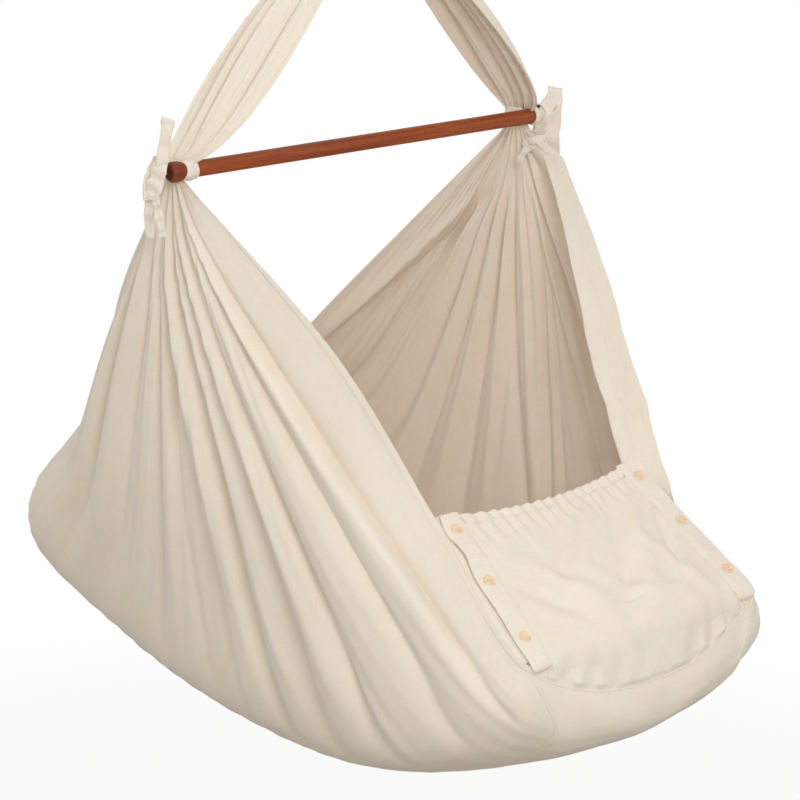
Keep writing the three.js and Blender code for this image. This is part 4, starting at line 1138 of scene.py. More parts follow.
def crown_relief(share):
    return sum(depth * np.cos(2 * np.pi * count * share + phase) for depth, count, phase in CROWN_FOLDS)


def add_crown():
    share = np.linspace(0, 1, 110)[:, None]
    bend, inner_bend = SLING_BEND * CROWN_OUTER, SLING_BEND * CROWN_INNER
    leg = np.linspace(bend, bend + CROWN_LEG, 14)[1:]
    along = np.concatenate([-leg[::-1], np.linspace(-bend, bend, 25), leg])[None]
    outer = crown_points(share, along, CROWN_OUTER + 0 * share)
    legs = np.sign(along) * (inner_bend + np.abs(along) - bend)
    inner_along = np.where(np.abs(along) > bend, legs, along * inner_bend / bend)
    inner = crown_points(share, inner_along, CROWN_INNER + 0 * share)
    outer = outer + unit(outer - inner) * crown_relief(share)[..., None]
    return cloth_object("crown_cloth", outer, LAYER, COTTON_TRIM, "hammock", "sling_crown", inner)


def sling_relief(side, step, seed):
    """Long folds that follow the sling and gather at both its ends."""
    draws = np.random.default_rng(seed)
    total = np.zeros(np.broadcast(side, step).shape)
    for depth, place, width in SLING_FOLDS:
        sway = place + draws.uniform(-0.03, 0.03) + 0.02 * np.sin(2.5 * step + draws.uniform(0, 6))
        scale = draws.uniform(0.75, 1.2)
        total = total + depth * scale * np.exp(-np.abs((side - sway) / width) ** 1.8)
    for count in SLING_WAVES:
        wave = np.cos(2 * np.pi * count * side + draws.uniform(0, 6) + 0.8 * np.sin(3 * step))
        total = total + wave * SLING_WAVE_DEPTH / count
    middle = np.sin(np.pi * np.clip(step, 0, 1)) ** np.where(step > 0.5, 1.5, 0.6)
    edges = ease(side, 0, HEM_FADE) * (1 - ease(side, 1 - HEM_FADE, 1))
    held = SLING_HEM_RELIEF + (1 - SLING_HEM_RELIEF) * edges
    waist = waist_wave(side) * (1 - ease(step, 0, 0.16))
    return SLING_RELIEF * total * middle * held + WAIST_PLEAT_DEPTH * waist * edges


def sling_grids(seed):
    """Outer and inner face of the near sling, from the waist up to the crown."""
    side = np.linspace(0, 1, SLING_COLUMNS)[:, None]
    step = np.linspace(0, 1, SLING_ROWS)[None]
    edge = 2 * side - 1
    away = np.array([0, -math.sin(SLING_LEAN), -math.cos(SLING_LEAN)])
    face = np.array([0, -math.cos(SLING_LEAN), math.sin(SLING_LEAN)])
    crown_end = np.full((1, 1), -SLING_BEND * CROWN_OUTER - CROWN_LEG)
    top = crown_points(side, crown_end, CROWN_OUTER) + away * SLING_TOP_GAP
    top = top + face * crown_relief(side)[..., None]
    waist = neck_points(side[:, 0])[:, None]
    waist = waist + np.array([0, 0, NECK_DROP + SLING_WAIST_RISE - SLING_SETTLE])
    open_share = np.maximum(np.sin(np.pi * step**SLING_OPEN_POWER), 0) ** SLING_FULL_POWER
    open_share = np.maximum(open_share, SLING_LEAST_OPEN * (1 - ease(step, 0, 0.2)))
    spread = edge * (SLING_HALF - WAIST_WIDTH / 2) * open_share
    swell = SLING_BOW * (1 - edge**2) * np.sin(np.pi * step) + sling_relief(side, step, seed)
    outer = waist * (1 - step[..., None]) + top * step[..., None] + face * swell[..., None]
    outer[..., 0] += spread + SLING_DRIFT * np.sin(np.pi * np.sqrt(step))
    normals = grid_normals(outer)
    normals *= np.sign((normals * face).sum(-1).mean())
    doubled = ease(step, SLING_SEAM_FROM, 1)
    thick = LAYER * (1 - doubled) + CLOTH_THICKNESS * doubled
    inner = outer - normals * thick[..., None]
    legs = np.linspace(0.15 - SLING_WAIST_RISE + SLING_SETTLE, -NECK_START, 8)
    foot = np.array([0, 0, 1])[None, None] * legs[None, :, None]
    return [np.concatenate([grid[:, :1] + foot, grid], 1) for grid in (outer, inner)]


def add_sling(label, seed):
    outer, inner = sling_grids(seed)
    if label == "far":
        outer, inner = mirrored(outer), mirrored(inner)
    return cloth_object(f"sling_cloth_{label}", outer, LAYER, COTTON, "hammock", f"sling_{label}", inner)


crown_cloth = add_crown()
sling_near_cloth, sling_far_cloth = add_sling("near", 3), add_sling("far", 8)


# Ties: strips of cloth wound round the bar and knotted

CAMERA_RIGHT = np.array([math.cos(CAMERA_AZIMUTH), math.sin(CAMERA_AZIMUTH), 0])
CAMERA_NEAR = np.array([math.sin(CAMERA_AZIMUTH), -math.cos(CAMERA_AZIMUTH), 0])

# A strip's section from one edge over its face to the other and back; the crease lies between the two lists
STRIP_RISE = [(-1, 0), (-0.94, 0.7), (-0.5, 1)]
STRIP_FALL = [(0.5, 1), (0.94, 0.7), (1, 0), (0.94, -0.7), (0.5, -1), (0, -0.9), (-0.5, -1), (-0.94, -0.7)]
CREASE_HALF = 0.12
RUCK, RUCK_RATE = 0.12, 0.9
# Rate and phase of the flutter of a strip's first edge, of its second edge and of its middle
FLUTTERS = ((0.19, 1.0), (0.27, 3.0), (0.41, 0.5))
WRAP_TURNS, WRAP_SECTIONS, WRAP_LAG = 1.05, 63, 0.6
# Run of the tie behind the gathered cloth as (depth, place along the bar); level and width of its two strips
BEHIND = [(-8, TURN_OUT), (-30, TURN_OUT + 1), (-50, -WAIST_Y), (-34, TURN_IN + 2), (-8, TURN_IN)]
BEHIND_STRIPS = ((4.5, 13.0), (-5.5, 12.0))

# Turns round the bar: place past TURN_OUT, slant, radius, width and start angle
NEAR_TURNS = [(-1.5, 2.2, BAR_RADIUS + 1.3, 12.5, 0.4), (-12.0, -1.6, BAR_RADIUS + 1.2, 9.0, 0.9)]
FAR_TURNS = [(4, 5.0, KNOB_RADIUS + 1.2, 13.5, 2.0), (13, 3.0, KNOB_RADIUS + 1.4, 12.0, 1.2)]
FAR_TURNS += [(-7, 1.4, BAR_RADIUS + 1.4, 9.0, 0.4)]

# Strips: the way each is wide, its widths at shares of its length, its thickness, crease, twist, flutter and
# number of sections, and its run as (right, up, forward) from the end of the bar
NEAR_EAR = [(-9, 0, 6), (-7, 16, 5), (-3, 34, 3), (0, 54, 2), (1, 63, 0), (1.5, 64, -3), (0, 54, -5)]
NEAR_EAR += [(-3, 34, -5), (-8, 14, -4), (-12, -2, -4)]
NEAR_MAIN = [(-4, 20, 4), (-9, 10, 6), (-13, -6, 7), (-18, -20, 5), (-22, -34, 3), (-24, -52, 0)]
NEAR_MAIN += [(-24, -78, -2)]
NEAR_LUMP = [(-11, 12, 0), (-18, 2, -3), (-23, -10, -3), (-25, -21, -2), (-24, -30, 0), (-20, -32, 4)]
NEAR_LUMP += [(-17, -25, 8)]
NEAR_MAIN_WIDTHS = ((0, 14), (0.2, 21), (0.5, 22), (0.75, 15), (1, 12))
NEAR_LUMP_WIDTHS = ((0, 14), (0.4, 15), (0.8, 14), (1, 8))
NEAR_UNDER = [(-8, 16, -6), (-15, 2, -7), (-20, -14, -7), (-22, -32, -5)]
NEAR_TAIL = [(-16, -24, 7), (-14, -38, 8), (-10, -56, 7), (-8, -76, 5)]
NEAR_STRIPS = [
    (CAMERA_RIGHT, ((0, 15), (0.3, 14), (0.5, 17), (0.7, 15), (1, 12)), 2.2, 0.7, 0.0, 1.2, 90, NEAR_EAR),
    (CAMERA_RIGHT + 0.25 * CAMERA_NEAR, NEAR_MAIN_WIDTHS, 2.4, 0.8, 0.3, 1.5, 80, NEAR_MAIN),
    (CAMERA_RIGHT - 0.3 * CAMERA_NEAR, NEAR_LUMP_WIDTHS, 3.0, 0.6, -0.5, 1.3, 80, NEAR_LUMP),
    (CAMERA_RIGHT, ((0, 20),), 2.4, 0.6, 0.0, 1.0, 50, NEAR_UNDER),
    (CAMERA_RIGHT + 0.4 * CAMERA_NEAR, ((0, 10.5),), 2.2, 0.7, -0.5, 1.2, 60, NEAR_TAIL),
]
FAR_EAR = [(3, -52, 17), (4, -30, 20), (6, -8, 20), (7, 10, 15), (8, 24, 8), (8.5, 32, 3), (9, 33, 0)]
FAR_EAR += [(9.5, 24, -4), (10, 2, -6), (10, -26, -5), (12, -56, -4)]
FAR_COVER = [(8, 26, 6), (1, 18, 14), (-5, 6, 21), (-8, -8, 23), (-11, -22, 23), (-15, -36, 21)]
FAR_CAP = [(10, 12, 17), (4, 4, 23), (-4, -6, 25), (-12, -15, 22), (-22, -20, 17)]
FAR_KNOT = [(0, -24, 24), (-10, -29, 30), (-22, -31, 31), (-31, -36, 26), (-27, -43, 24), (-15, -42, 28)]
FAR_KNOT += [(-5, -38, 30), (-1, -30, 26)]
FAR_TAIL = [(-20, -36, 27), (-29, -43, 27), (-36, -53, 26), (-39, -64, 25)]
FAR_SECOND = [(-8, -36, 26), (-7, -50, 25), (-10, -64, 23)]
FAR_STRIPS = [
    (CAMERA_RIGHT, ((0, 15), (0.2, 21), (0.4, 21), (0.55, 19), (1, 10)), 2.2, 0.8, 0.0, 1.3, 100, FAR_EAR),
    (CAMERA_RIGHT + np.array([0, 0, -0.2]), ((0, 19),), 2.4, 0.7, 0.2, 1.2, 70, FAR_COVER),
    (CAMERA_RIGHT + np.array([0, 0, 0.8]), ((0, 15),), 2.6, 0.7, 0.4, 0.8, 70, FAR_CAP),
    (np.array([0.1, 0, 1]), ((0, 10.5),), 4.0, 0.5, 0.4, 1.0, 90, FAR_KNOT),
    (CAMERA_RIGHT + 0.2 * CAMERA_NEAR, ((0, 11),), 2.4, 0.7, 0.5, 1.0, 40, FAR_TAIL),
    (CAMERA_RIGHT - 0.2 * CAMERA_NEAR, ((0, 11),), 2.4, 0.7, -0.4, 1.0, 40, FAR_SECOND),
]


def ribbon(path, wide, width, thickness, crease, twist=0.0, flutter=0.0):
    """Folded strip of cloth along a path: a flat section with round edges and a crease down its middle."""
    tangent = unit(np.gradient(path, axis=0))
    across = np.asarray(wide, float)
    profile = STRIP_RISE + [(-CREASE_HALF, 1 - crease), (CREASE_HALF, 1 - crease)] + STRIP_FALL
    a, b = np.array(profile, float).T[:, :, None]
    sections = []
    breadths = np.broadcast_to(width, len(path))
    for index, (place, heading, breadth) in enumerate(zip(path, tangent, breadths)):
        across = unit(across - heading * (across @ heading))
        lift = np.cross(heading, across)
        angle = twist * index / (len(path) - 1)
        turned = across * math.cos(angle) + lift * math.sin(angle)
        lift = np.cross(heading, turned)
        first, second, middle = (flutter * math.sin(index * rate + phase) for rate, phase in FLUTTERS)
        ruck = 1 + RUCK * math.sin(index * RUCK_RATE)
        stretch = breadth / 2 * (1 + 0.05 * flutter * math.sin(index * 0.33 + 2))
        height = b * thickness / 2 * ruck + np.where(a < 0, first, second) * a * a
        sections.append(place + lift * middle * 0.6 + turned * a * stretch + lift * height)
    return join_sections(sections)


def wrap(y, slant, radius, width, start):
    """Strip wound round the bar."""
    angle = start + np.linspace(0, 2 * math.pi * WRAP_TURNS, WRAP_SECTIONS)
    level = radius * np.sin(angle) - BAR_DROP
    points = np.stack([radius * np.cos(angle), y + slant * np.cos(angle - WRAP_LAG), level], 1)
    return ribbon(points, (0, 1, 0), width, 2.0, 0.45)


def strip(end, wide, widths, thickness, crease, twist, flutter, count, run):
    """Strip through places given from an end of the bar."""
    right, up, near = np.array(run, float).T
    points = end + np.outer(right, CAMERA_RIGHT) + np.outer(near, CAMERA_NEAR) + np.outer(up, (0, 0, 1))
    share = np.linspace(0, 1, count)
    width = np.interp(share, *zip(*widths))
    return ribbon(catmull(points, share), wide, width, thickness, crease, twist, flutter)


def add_tie(label, way, turns, strips):
    """One end's tie; way is -1 at the near end and 1 at the far one."""
    parts = [wrap(way * (TURN_OUT + past), *rest) for past, *rest in turns]
    for level, width in BEHIND_STRIPS:
        behind = [(x, way * y, level - BAR_DROP) for x, y in BEHIND]
        parts.append(ribbon(catmull(behind, np.linspace(0, 1, 60)), (0, 0, 1), width, 2.2, 0.5))
    end = np.array([0, way * BAR_LENGTH / 2, -BAR_DROP])
    points, faces = merge(parts + [strip(end, *row) for row in strips])
    uv = np.stack([points[:, 0] + points[:, 1], points[:, 2]], 1) * MM
    shown = mesh_object(f"tie_strip_{label}", points, faces, COTTON_TRIM, uv, sharp=60)
    outward_islands(shown)
    return dress(shown, "hammock", f"bar_tie_{label}")


tie_near_strip = add_tie("near", -1, NEAR_TURNS, NEAR_STRIPS)
tie_far_strip = add_tie("far", 1, FAR_TURNS, FAR_STRIPS)


# Foot flap

BUTTON_SHARES = (0.94, 0.56, 0.16)
BUTTON_INSET = 0.47
GATHERS, GATHER_REACH, GATHER_SEED = 15, 66.0, 4
FLAP_BULGE = 11.0
SLACK = 2.2
# Slack folds of the flap: depth, place across and along, lean from straight along, half width and half length
SLACK_FOLDS = [(-3.4, -40, 120, 0.75, 15, 85), (2.6, -8, 128, 0.8, 16, 80), (-3.0, 52, 122, 0.55, 13, 70)]
SLACK_FOLDS += [(2.4, 82, 118, 0.5, 14, 75), (-2.6, 20, 62, 0.95, 13, 60), (2.2, -62, 66, -0.6, 13, 55)]
SLACK_FOLDS += [(-2.4, -96, 60, -0.8, 11, 45), (2.6, 108, 58, -0.5, 12, 50), (-2.8, 122, 92, 0.4, 9, 45)]
SLACK_FOLDS += [(2.0, 60, 30, -1.2, 10, 60), (-2.2, -20, 24, 1.3, 9, 60)]
GATHER_DEPTH, EDGE_GATHER_DEPTH, EDGE_GATHER_PLACE, EDGE_GATHER_REACH = 1.5, 1.3, 17, 15
FLAP_CRUMPLE, CRUMPLE_SPAN = 1.3, (70, 150)
UNDER_ROWS, UNDER_PLACES = 60, 161
APRON_LIFT, APRON_SEWN_DROP, APRON_SEWN_CALM, SEWN_SPAN = 1.9, 2.6, 0.9, (-9, -0.5)
# How much higher the crumples are by the seam and in the corners, and how far each reaches
SEAM_SHARE, SEAM_NEAR, CORNER_SHARE, CORNER_SPAN, PUCKER_REACH = 3.2, 22, 2.8, (60, 180), 9
SEAM_DIP, SEAM_POWER = 62.0, 2.6
FLAP_COLUMNS, FLAP_ROWS, APRON_ROWS = 300, 112, 44
HINGE_EASED = slice(22, 66)


def gathered_edge(across):
    share = across / FLAP_TOP_HALF
    return FLAP_LENGTH - FLAP_SAG * (1 - share * share)


def gather_waves(across):
    """Uneven gathers along the elastic: places and sizes differ from one to the next."""
    draws = np.random.default_rng(GATHER_SEED)
    share = across / PANEL_HALF
    wobble = 0
    for _ in range(4):
        size, rate, phase = draws.uniform(0.15, 0.5), draws.uniform(1.5, 6), draws.uniform(0, 6)
        wobble = wobble + size * np.sin(rate * share + phase)
    phase = np.pi * GATHERS * share + 2.6 * wobble
    size = 1 + 0.45 * np.sin(2.3 * share + 1) * np.cos(5.1 * share)
    return size * (np.cos(phase) - 0.4 * np.abs(np.cos(phase / 2 + 0.4)))


def seam_dip(across):
    """How far below the hinge the flap's cloth is sewn to the gusset."""
    return SEAM_DIP * (1 - np.abs(across / FLAP_LOW_HALF) ** SEAM_POWER) + 4


def flap_belly(along, across):
    """The flap and the cloth that goes on below it crown as one pouch."""
    dip = seam_dip(across)
    share = np.clip((along + dip) / (FLAP_LENGTH + dip), 0, 1)
    side = np.clip(across / flap_half_width(along), -1, 1)
    return FLAP_BULGE * np.sin(np.pi * share) ** 0.7 * (1 - side**2) ** 1.25


def flap_relief(along, across):
    """Out of the flap's plane: gathers, the belly of the cloth, and slack folds between the buttons."""
    edge = gathered_edge(across)
    reach = GATHER_REACH * (0.55 + 0.45 * np.sin(9.7 * across / PANEL_HALF + 0.6) ** 2)
    fade = ease(along, edge - reach, edge - 4) ** 1.5
    ends = 1 - ease(np.abs(across), PANEL_HALF * 0.9, PANEL_HALF * 1.02)
    deep = GATHER_DEPTH + EDGE_GATHER_DEPTH * bell((edge - along - EDGE_GATHER_PLACE) / EDGE_GATHER_REACH)
    height = deep * fade * ends * gather_waves(across) + flap_belly(along, across)
    for depth, centre, middle, lean, width, length in SLACK_FOLDS:
        s, c = math.sin(lean), math.cos(lean)
        u = (across - centre) * c - (along - middle) * s
        v = (across - centre) * s + (along - middle) * c
        height = height + SLACK * depth * bell(u / width) * bell(v / length)
    crumple = np.sin(across * 0.11 + 0.05 * along) * np.sin(along * 0.09 + 0.03 * across + 1)
    return height + FLAP_CRUMPLE * crumple * ends * (1 - ease(along, *CRUMPLE_SPAN))


def under_table():
    """Rows of the gusset's outer face from the hinge down, at even widths, with their lengths and normals."""
    across = np.linspace(-FLAP_LOW_HALF, FLAP_LOW_HALF, UNDER_PLACES)
    rows = []
    for row in gusset[::-1][:UNDER_ROWS]:
        order = np.argsort(row[:, 1])
        rows.append(np.stack([np.interp(across, row[order, 1], row[order, k]) for k in (0, 1, 2)], 1))
    rows = np.array(rows)
    rows[..., 1] = across
    lengths = np.cumsum(np.linalg.norm(np.diff(rows, axis=0), axis=2), axis=0)
    down = np.concatenate([np.zeros((1, UNDER_PLACES)), lengths])
    normals = unit(np.cross(np.gradient(rows, axis=0), np.gradient(rows, axis=1)))
    normals *= np.sign((normals @ OUT_OF_FLAP).mean())
    return across, rows, down, normals


UNDER = under_table()


def under_hinge(down, across):
    """Place on the gusset's outer face at a length below the hinge, and the way out of it."""
    places, rows, lengths, normals = UNDER
    down, across = np.broadcast_arrays(np.asarray(down, float), np.asarray(across, float))
    flat_down, flat_across = down.ravel(), np.clip(across.ravel(), places[0], places[-1])
    column = (flat_across - places[0]) / (places[1] - places[0])
    left = np.minimum(column.astype(int), len(places) - 2)
    part = (column - left)[:, None]
    numbers = np.arange(len(lengths))
    found = []
    for at in (left, left + 1):
        level = np.array([np.interp(d, lengths[:, a], numbers) for d, a in zip(flat_down, at)])
        low = np.minimum(level.astype(int), len(lengths) - 2)
        rest = (level - low)[:, None]
        found.append([grid[low, at] * (1 - rest) + grid[low + 1, at] * rest for grid in (rows, normals)])
    point, normal = (first * (1 - part) + second * part for first, second in zip(*found))
    return point.reshape(*down.shape, 3), unit(normal).reshape(*down.shape, 3)


def pouch_wrinkles(down, across):
    """Crumples beside the flap's lower seam, stronger towards its corners."""
    from_seam = down - seam_dip(across)
    pucker = np.sin(across * 0.33 + 1.7 * np.sin(across * 0.06)) * bell(from_seam / PUCKER_REACH)
    corner = ease(np.abs(across), *CORNER_SPAN)
    height = crumples(across, down, 31, 8, (0.04, 0.2), (-0.11, 0.11), (0.4, 1))
    return height * (1.0 + SEAM_SHARE * bell(from_seam / SEAM_NEAR) + CORNER_SHARE * corner) + pucker


def apron(down, across):
    """The flap's cloth where it goes on below the hinge, over the gusset."""
    point, normal = under_hinge(down, across)
    sewn = ease(down - seam_dip(across), *SEWN_SPAN)
    wrinkled = pouch_wrinkles(down, across) * ease(down, -4, 24) * (1 - APRON_SEWN_CALM * sewn)
    height = APRON_LIFT + flap_belly(-down, across) + wrinkled - APRON_SEWN_DROP * sewn
    return point + normal * height[..., None]


def hinge_blend(shown):
    """Bakes the piece's place into its mesh."""
    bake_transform(shown)


def add_flap():
    across_share = np.linspace(-1, 1, FLAP_COLUMNS)[:, None]
    along_share = np.linspace(0, 1, FLAP_ROWS)[None]
    edge = gathered_edge(across_share * (PANEL_HALF - SEAM_GAP))
    along = SEAM_GAP + along_share * (edge - 2 * SEAM_GAP)
    across = across_share * (flap_half_width(along) - PLACKET_WIDTH + 5)
    upper = flap_point(along, across, flap_relief(along, across))
    down = np.linspace(1, 0, APRON_ROWS)[None] * seam_dip(across[:, :1])
    low = apron(down, across[:, :1] + 0 * down)
    outer = np.concatenate([low[:, :-1], (low[:, -1:] + upper[:, :1]) / 2, upper[:, 1:]], 1)
    first, last = HINGE_EASED.start, HINGE_EASED.stop
    outer[:, first + 4 : last - 4] = smoothed(outer[:, HINGE_EASED], 90)[:, 4:-4]
    shown = cloth_object("flap_cloth", outer[::-1], FLAP_LAYER, COTTON, None)
    hinge_blend(shown)
    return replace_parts(shown, "foot_flap")


# The flap's edges with their buttonholes

PLACKET_FOOT = 13.0
PLACKET_COLUMNS, PLACKET_ROWS = 44, 240
PLACKET_STITCH_COLUMNS = (4, 37)
HOLD_REACH, HOLD_LEAST, LOOSE_SPAN = 21, 0.22, (120, 165)
DRAWN_IN, STANDS_OFF, CORNER_DRAWN = 4.0, 3.4, 9
SLOT_HALF_LENGTH, SLOT_HALF_WIDTH, SLOT_POWER = 8.6, 1.5, 0.8
SLOT_CUT = (-7, 9)
BUTTON_STITCH_ROUND = (0.13, 1.15)


def button_place(share):
    along = share * FLAP_LENGTH
    return along, -flap_half_width(along) + BUTTON_INSET * PLACKET_WIDTH


def placket_surface(along, share):
    """Doubled side edge of the flap: held down at its buttons, standing off and drawn in between them."""
    along, share = np.broadcast_arrays(np.asarray(along, float), np.asarray(share, float))
    level = np.maximum(along, 0)
    half = flap_half_width(level)
    held = np.clip(sum(bell((level - place * FLAP_LENGTH) / HOLD_REACH) for place in BUTTON_SHARES), 0, 1)
    free = 1 - held
    slack = free * (HOLD_LEAST + (1 - HOLD_LEAST) * ease(level, *LOOSE_SPAN))
    corner = CORNER_DRAWN * (1 - share) ** 2 * ease(-along, -6, PLACKET_FOOT) ** 2
    across = -half + DRAWN_IN * slack * (1 - share) ** 2 + corner + share * (PLACKET_WIDTH + 1)
    lift = STANDS_OFF * slack * (1 - share) ** 1.5 * ease(level, 0, 30)
    held_flat = 1 - held * (1 - ease(share, 0.6, 1))
    inner = flap_relief(level, -half + PLACKET_WIDTH) * ease(share, 0.2, 1.0) * held_flat
    ripples = 0.5 * np.sin(level * 0.33 + 4 * share) + 0.35 * np.sin(level * 0.71)
    edges = 0.4 * bell((share - 0.06) / 0.05) - 1.9 * ease(share, 0.72, 1)
    edges = edges - 2.1 * (1 - ease(share, 0, 0.35)) * (1 - slack)
    point = flap_point(level, across, lift * 0.8 + inner + ripples * free * 0.6 + edges + 0.75)
    if along.min() < 0:
        below = along[0] < 0
        low, out = under_hinge(-along[:, below], across[:, below])
        point[:, below] = low + out * (2.6 - 4.6 * ease(-along[:, below], 0, 10))[..., None]
        count = int(below.sum())
        point[:, count - 3 : count + 6] = smoothed(point[:, count - 6 : count + 9], 6)[:, 3:12]
    return point


def signed_power(value, power):
    return np.sign(value) * np.abs(value) ** power


def slot_outline(steps):
    """Lens round a button's shank: long and narrow, as a pulled buttonhole is."""
    angles = circle(steps)
    height = signed_power(np.sin(angles), SLOT_POWER) * SLOT_HALF_WIDTH
    return np.stack([np.cos(angles) * SLOT_HALF_LENGTH, height], 1)


def buttonhole(along, across):
    """Close stitches round the slit."""
    parts = []
    for inside in slot_outline(84):
        outside = inside * (1 + np.array(BUTTON_STITCH_ROUND))
        marks = ((inside * 0.97, -0.5), (inside, 0.75), ((inside + outside) / 2, 1.0))
        marks += ((outside, 0.7), (outside * 1.02, -0.3))
        path = []
        for mark, out in marks:
            share = (across + mark[0] + flap_half_width(along)) / PLACKET_WIDTH
            path.append(placket_surface(along + mark[1], share) + OUT_OF_FLAP * out * 0.55)
        parts.append(tube(path, 0.34, 5, 1.0, (0.3, 0.7, 0.2)))
    return merge(parts)


def add_placket(label):
    along = np.linspace(-PLACKET_FOOT, CASING_END - 3, PLACKET_ROWS)[None]
    share = np.linspace(0, 1, PLACKET_COLUMNS)[:, None]
    outer = placket_surface(along, share)
    shown = cloth_object(f"flap_edge_{label}", outer, TRIM_LAYER, COTTON_TRIM, None)
    sewn = []
    for column in PLACKET_STITCH_COLUMNS:
        row = outer[column]
        normals = unit(np.cross(outer[column + 1] - row, np.gradient(row, axis=0)))
        normals *= np.sign((normals @ OUT_OF_FLAP).mean())
        sewn.append(stitches(row, normals, 0.05))
    for number, place in enumerate(BUTTON_SHARES):
        spot_along, spot_across = button_place(place)
        a, b = slot_outline(18).T
        slot = join_sections([flap_point(spot_along + b, spot_across + a, out) for out in SLOT_CUT])
        cut(shown, f"cutter_{number}", *slot, COTTON_TRIM)
        sewn.append(buttonhole(spot_along, spot_across))
    threads = mesh_object(f"flap_edge_stitches_{label}", *merge(sewn), THREAD, sharp=80)
    dress(threads, None)
    for piece in (shown, threads):
        if label == "far":
            flip_across(piece)
        hinge_blend(piece)
    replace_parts(shown, f"flap_placket_{label}")
    return shown, threads


# Casing with its elastic, and the facings under the flap's edges

CASING_STOPS, CASING_SIDES, CASING_POWER = 420, 22, 0.6
# The casing's fullness along and out of the flap, as a share and as what a gather adds
CASING_FULL, CASING_THICK = (1.12, 0.05), (0.6, 0.06)
CASING_OUT, CASING_WAVE = 0.9, 1.4
ELASTIC_STOPS = 160
ELASTIC_SECTION = [(-1, -0.6), (-0.8, -1), (0.8, -1), (1, -0.6), (1, 0.6), (0.8, 1), (-0.8, 1), (-1, 0.6)]
CASING_HALF = flap_half_width(CASING_END) - PLACKET_WIDTH - SEAM_GAP
FACING_ROWS, FACING_COLUMNS = 150, 40
FACING_DROP, FACING_TURN, FACING_NARROWED = UNDER_FLAP + 0.35, 0.42, 0.72


def add_casing():
    """Puckered tube of cloth along the flap's gathered edge, and its row of stitches."""
    stops = np.linspace(-CASING_HALF, CASING_HALF, CASING_STOPS)[:, None]
    wave = gather_waves(stops * PANEL_HALF / CASING_HALF)
    hold = 1 - ease(np.abs(stops), CASING_HALF * 0.9, CASING_HALF)
    angles = circle(CASING_SIDES)
    half_height = CASING_HEIGHT / 2 * (CASING_FULL[0] + CASING_FULL[1] * wave * hold)
    half_thick = CASING_THICKNESS / 2 * (CASING_THICK[0] + CASING_THICK[1] * wave * hold)
    along = gathered_edge(stops) + CASING_HEIGHT / 2
    along = along + half_height * signed_power(np.cos(angles), CASING_POWER)
    swell = 1 + 0.16 * hold * np.cos(3 * angles + wave)
    out = -CLOTH_THICKNESS / 2 + CASING_OUT + CASING_WAVE * wave * hold
    out = out + half_thick * signed_power(np.sin(angles), CASING_POWER) * swell
    points, faces = join_sections(flap_point(along, stops, out))
    uv = np.stack([points[:, 1], points[:, 0] + points[:, 2]], 1) * MM
    shown = mesh_object("casing_cloth", points, faces, COTTON_TRIM, uv, sharp=60)
    fix_normals(shown)
    dress(shown, "flap", "elastic_casing")
    row = flap_point(gathered_edge(stops) + 1.6, stops, 1.25 + 0.95 * wave * hold)[:, 0]
    normals = np.tile(OUT_OF_FLAP, (len(row), 1))
    return shown, stitch_piece("casing_stitches", [(row, normals, STITCH_LIFT)], "flap")


def add_elastic():
    stops = np.linspace(-CASING_HALF, CASING_HALF, ELASTIC_STOPS)[:, None]
    a, b = np.array(ELASTIC_SECTION).T
    along = gathered_edge(stops) + CASING_HEIGHT / 2 + a * ELASTIC_WIDTH / 2
    out = -CLOTH_THICKNESS / 2 + 0.12 * np.sin(np.arange(ELASTIC_STOPS) * 0.8)[:, None]
    sections = flap_point(along, stops, out + b * ELASTIC_THICKNESS / 2 * 0.9)
    shown = mesh_object("elastic_band", *join_sections(sections), RUBBER, sharp=60)
    fix_normals(shown)
    return dress(shown, "flap", "casing_elastic")


def add_facing(label):
    """Turned front hem under the flap's edge, which carries the buttons."""
    along = np.linspace(CLOTH_THICKNESS + 2 * SEAM_GAP, CASING_END, FACING_ROWS)[None]
    share = np.linspace(0, 1, FACING_COLUMNS)[:, None]
    narrow = 1 - FACING_NARROWED * ease(along, FLAP_LENGTH - 30, CASING_END - 2)
    across = -flap_half_width(along) - 2 + share * (PLACKET_WIDTH + 2) * narrow
    waves = 0.25 * np.sin(along * 0.19 + 3 * share) + 0.2 * np.sin(along * 0.5 + 1)
    outer = flap_point(along, across, waves - FACING_DROP)
    hem = near_side[-1] - HINGE
    places = hem @ ALONG_FLAP
    order = np.argsort(places)
    rim_across, rim_out = (
        np.interp(along[0], places[order], values[order]) for values in (hem[:, 1], hem @ OUT_OF_FLAP)
    )
    rim = flap_point(along[0], rim_across + 0.6, np.minimum(rim_out - 1.2, -FACING_DROP))
    turn = 1 - ease(share, 0.0, FACING_TURN)[..., None]
    outer = outer * (1 - turn) + rim[None] * turn
    shown = cloth_object(f"hem_facing_{label}", outer, FACING_LAYER, COTTON_TRIM, "hammock")
    if label == "far":
        flip_across(shown)
    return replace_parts(shown, f"button_facing_{label}")


flap_cloth = add_flap()
edge_near, edge_near_stitches = add_placket("near")
edge_far, edge_far_stitches = add_placket("far")
casing_cloth, casing_stitches = add_casing()
elastic_band = add_elastic()
facing_near, facing_far = add_facing("near"), add_facing("far")


# Buttons

EYE_RADIUS, EYE_PLACE, EYE_REACH = 0.85, 0.29, 6
BUTTON_SHARP = math.radians(50)
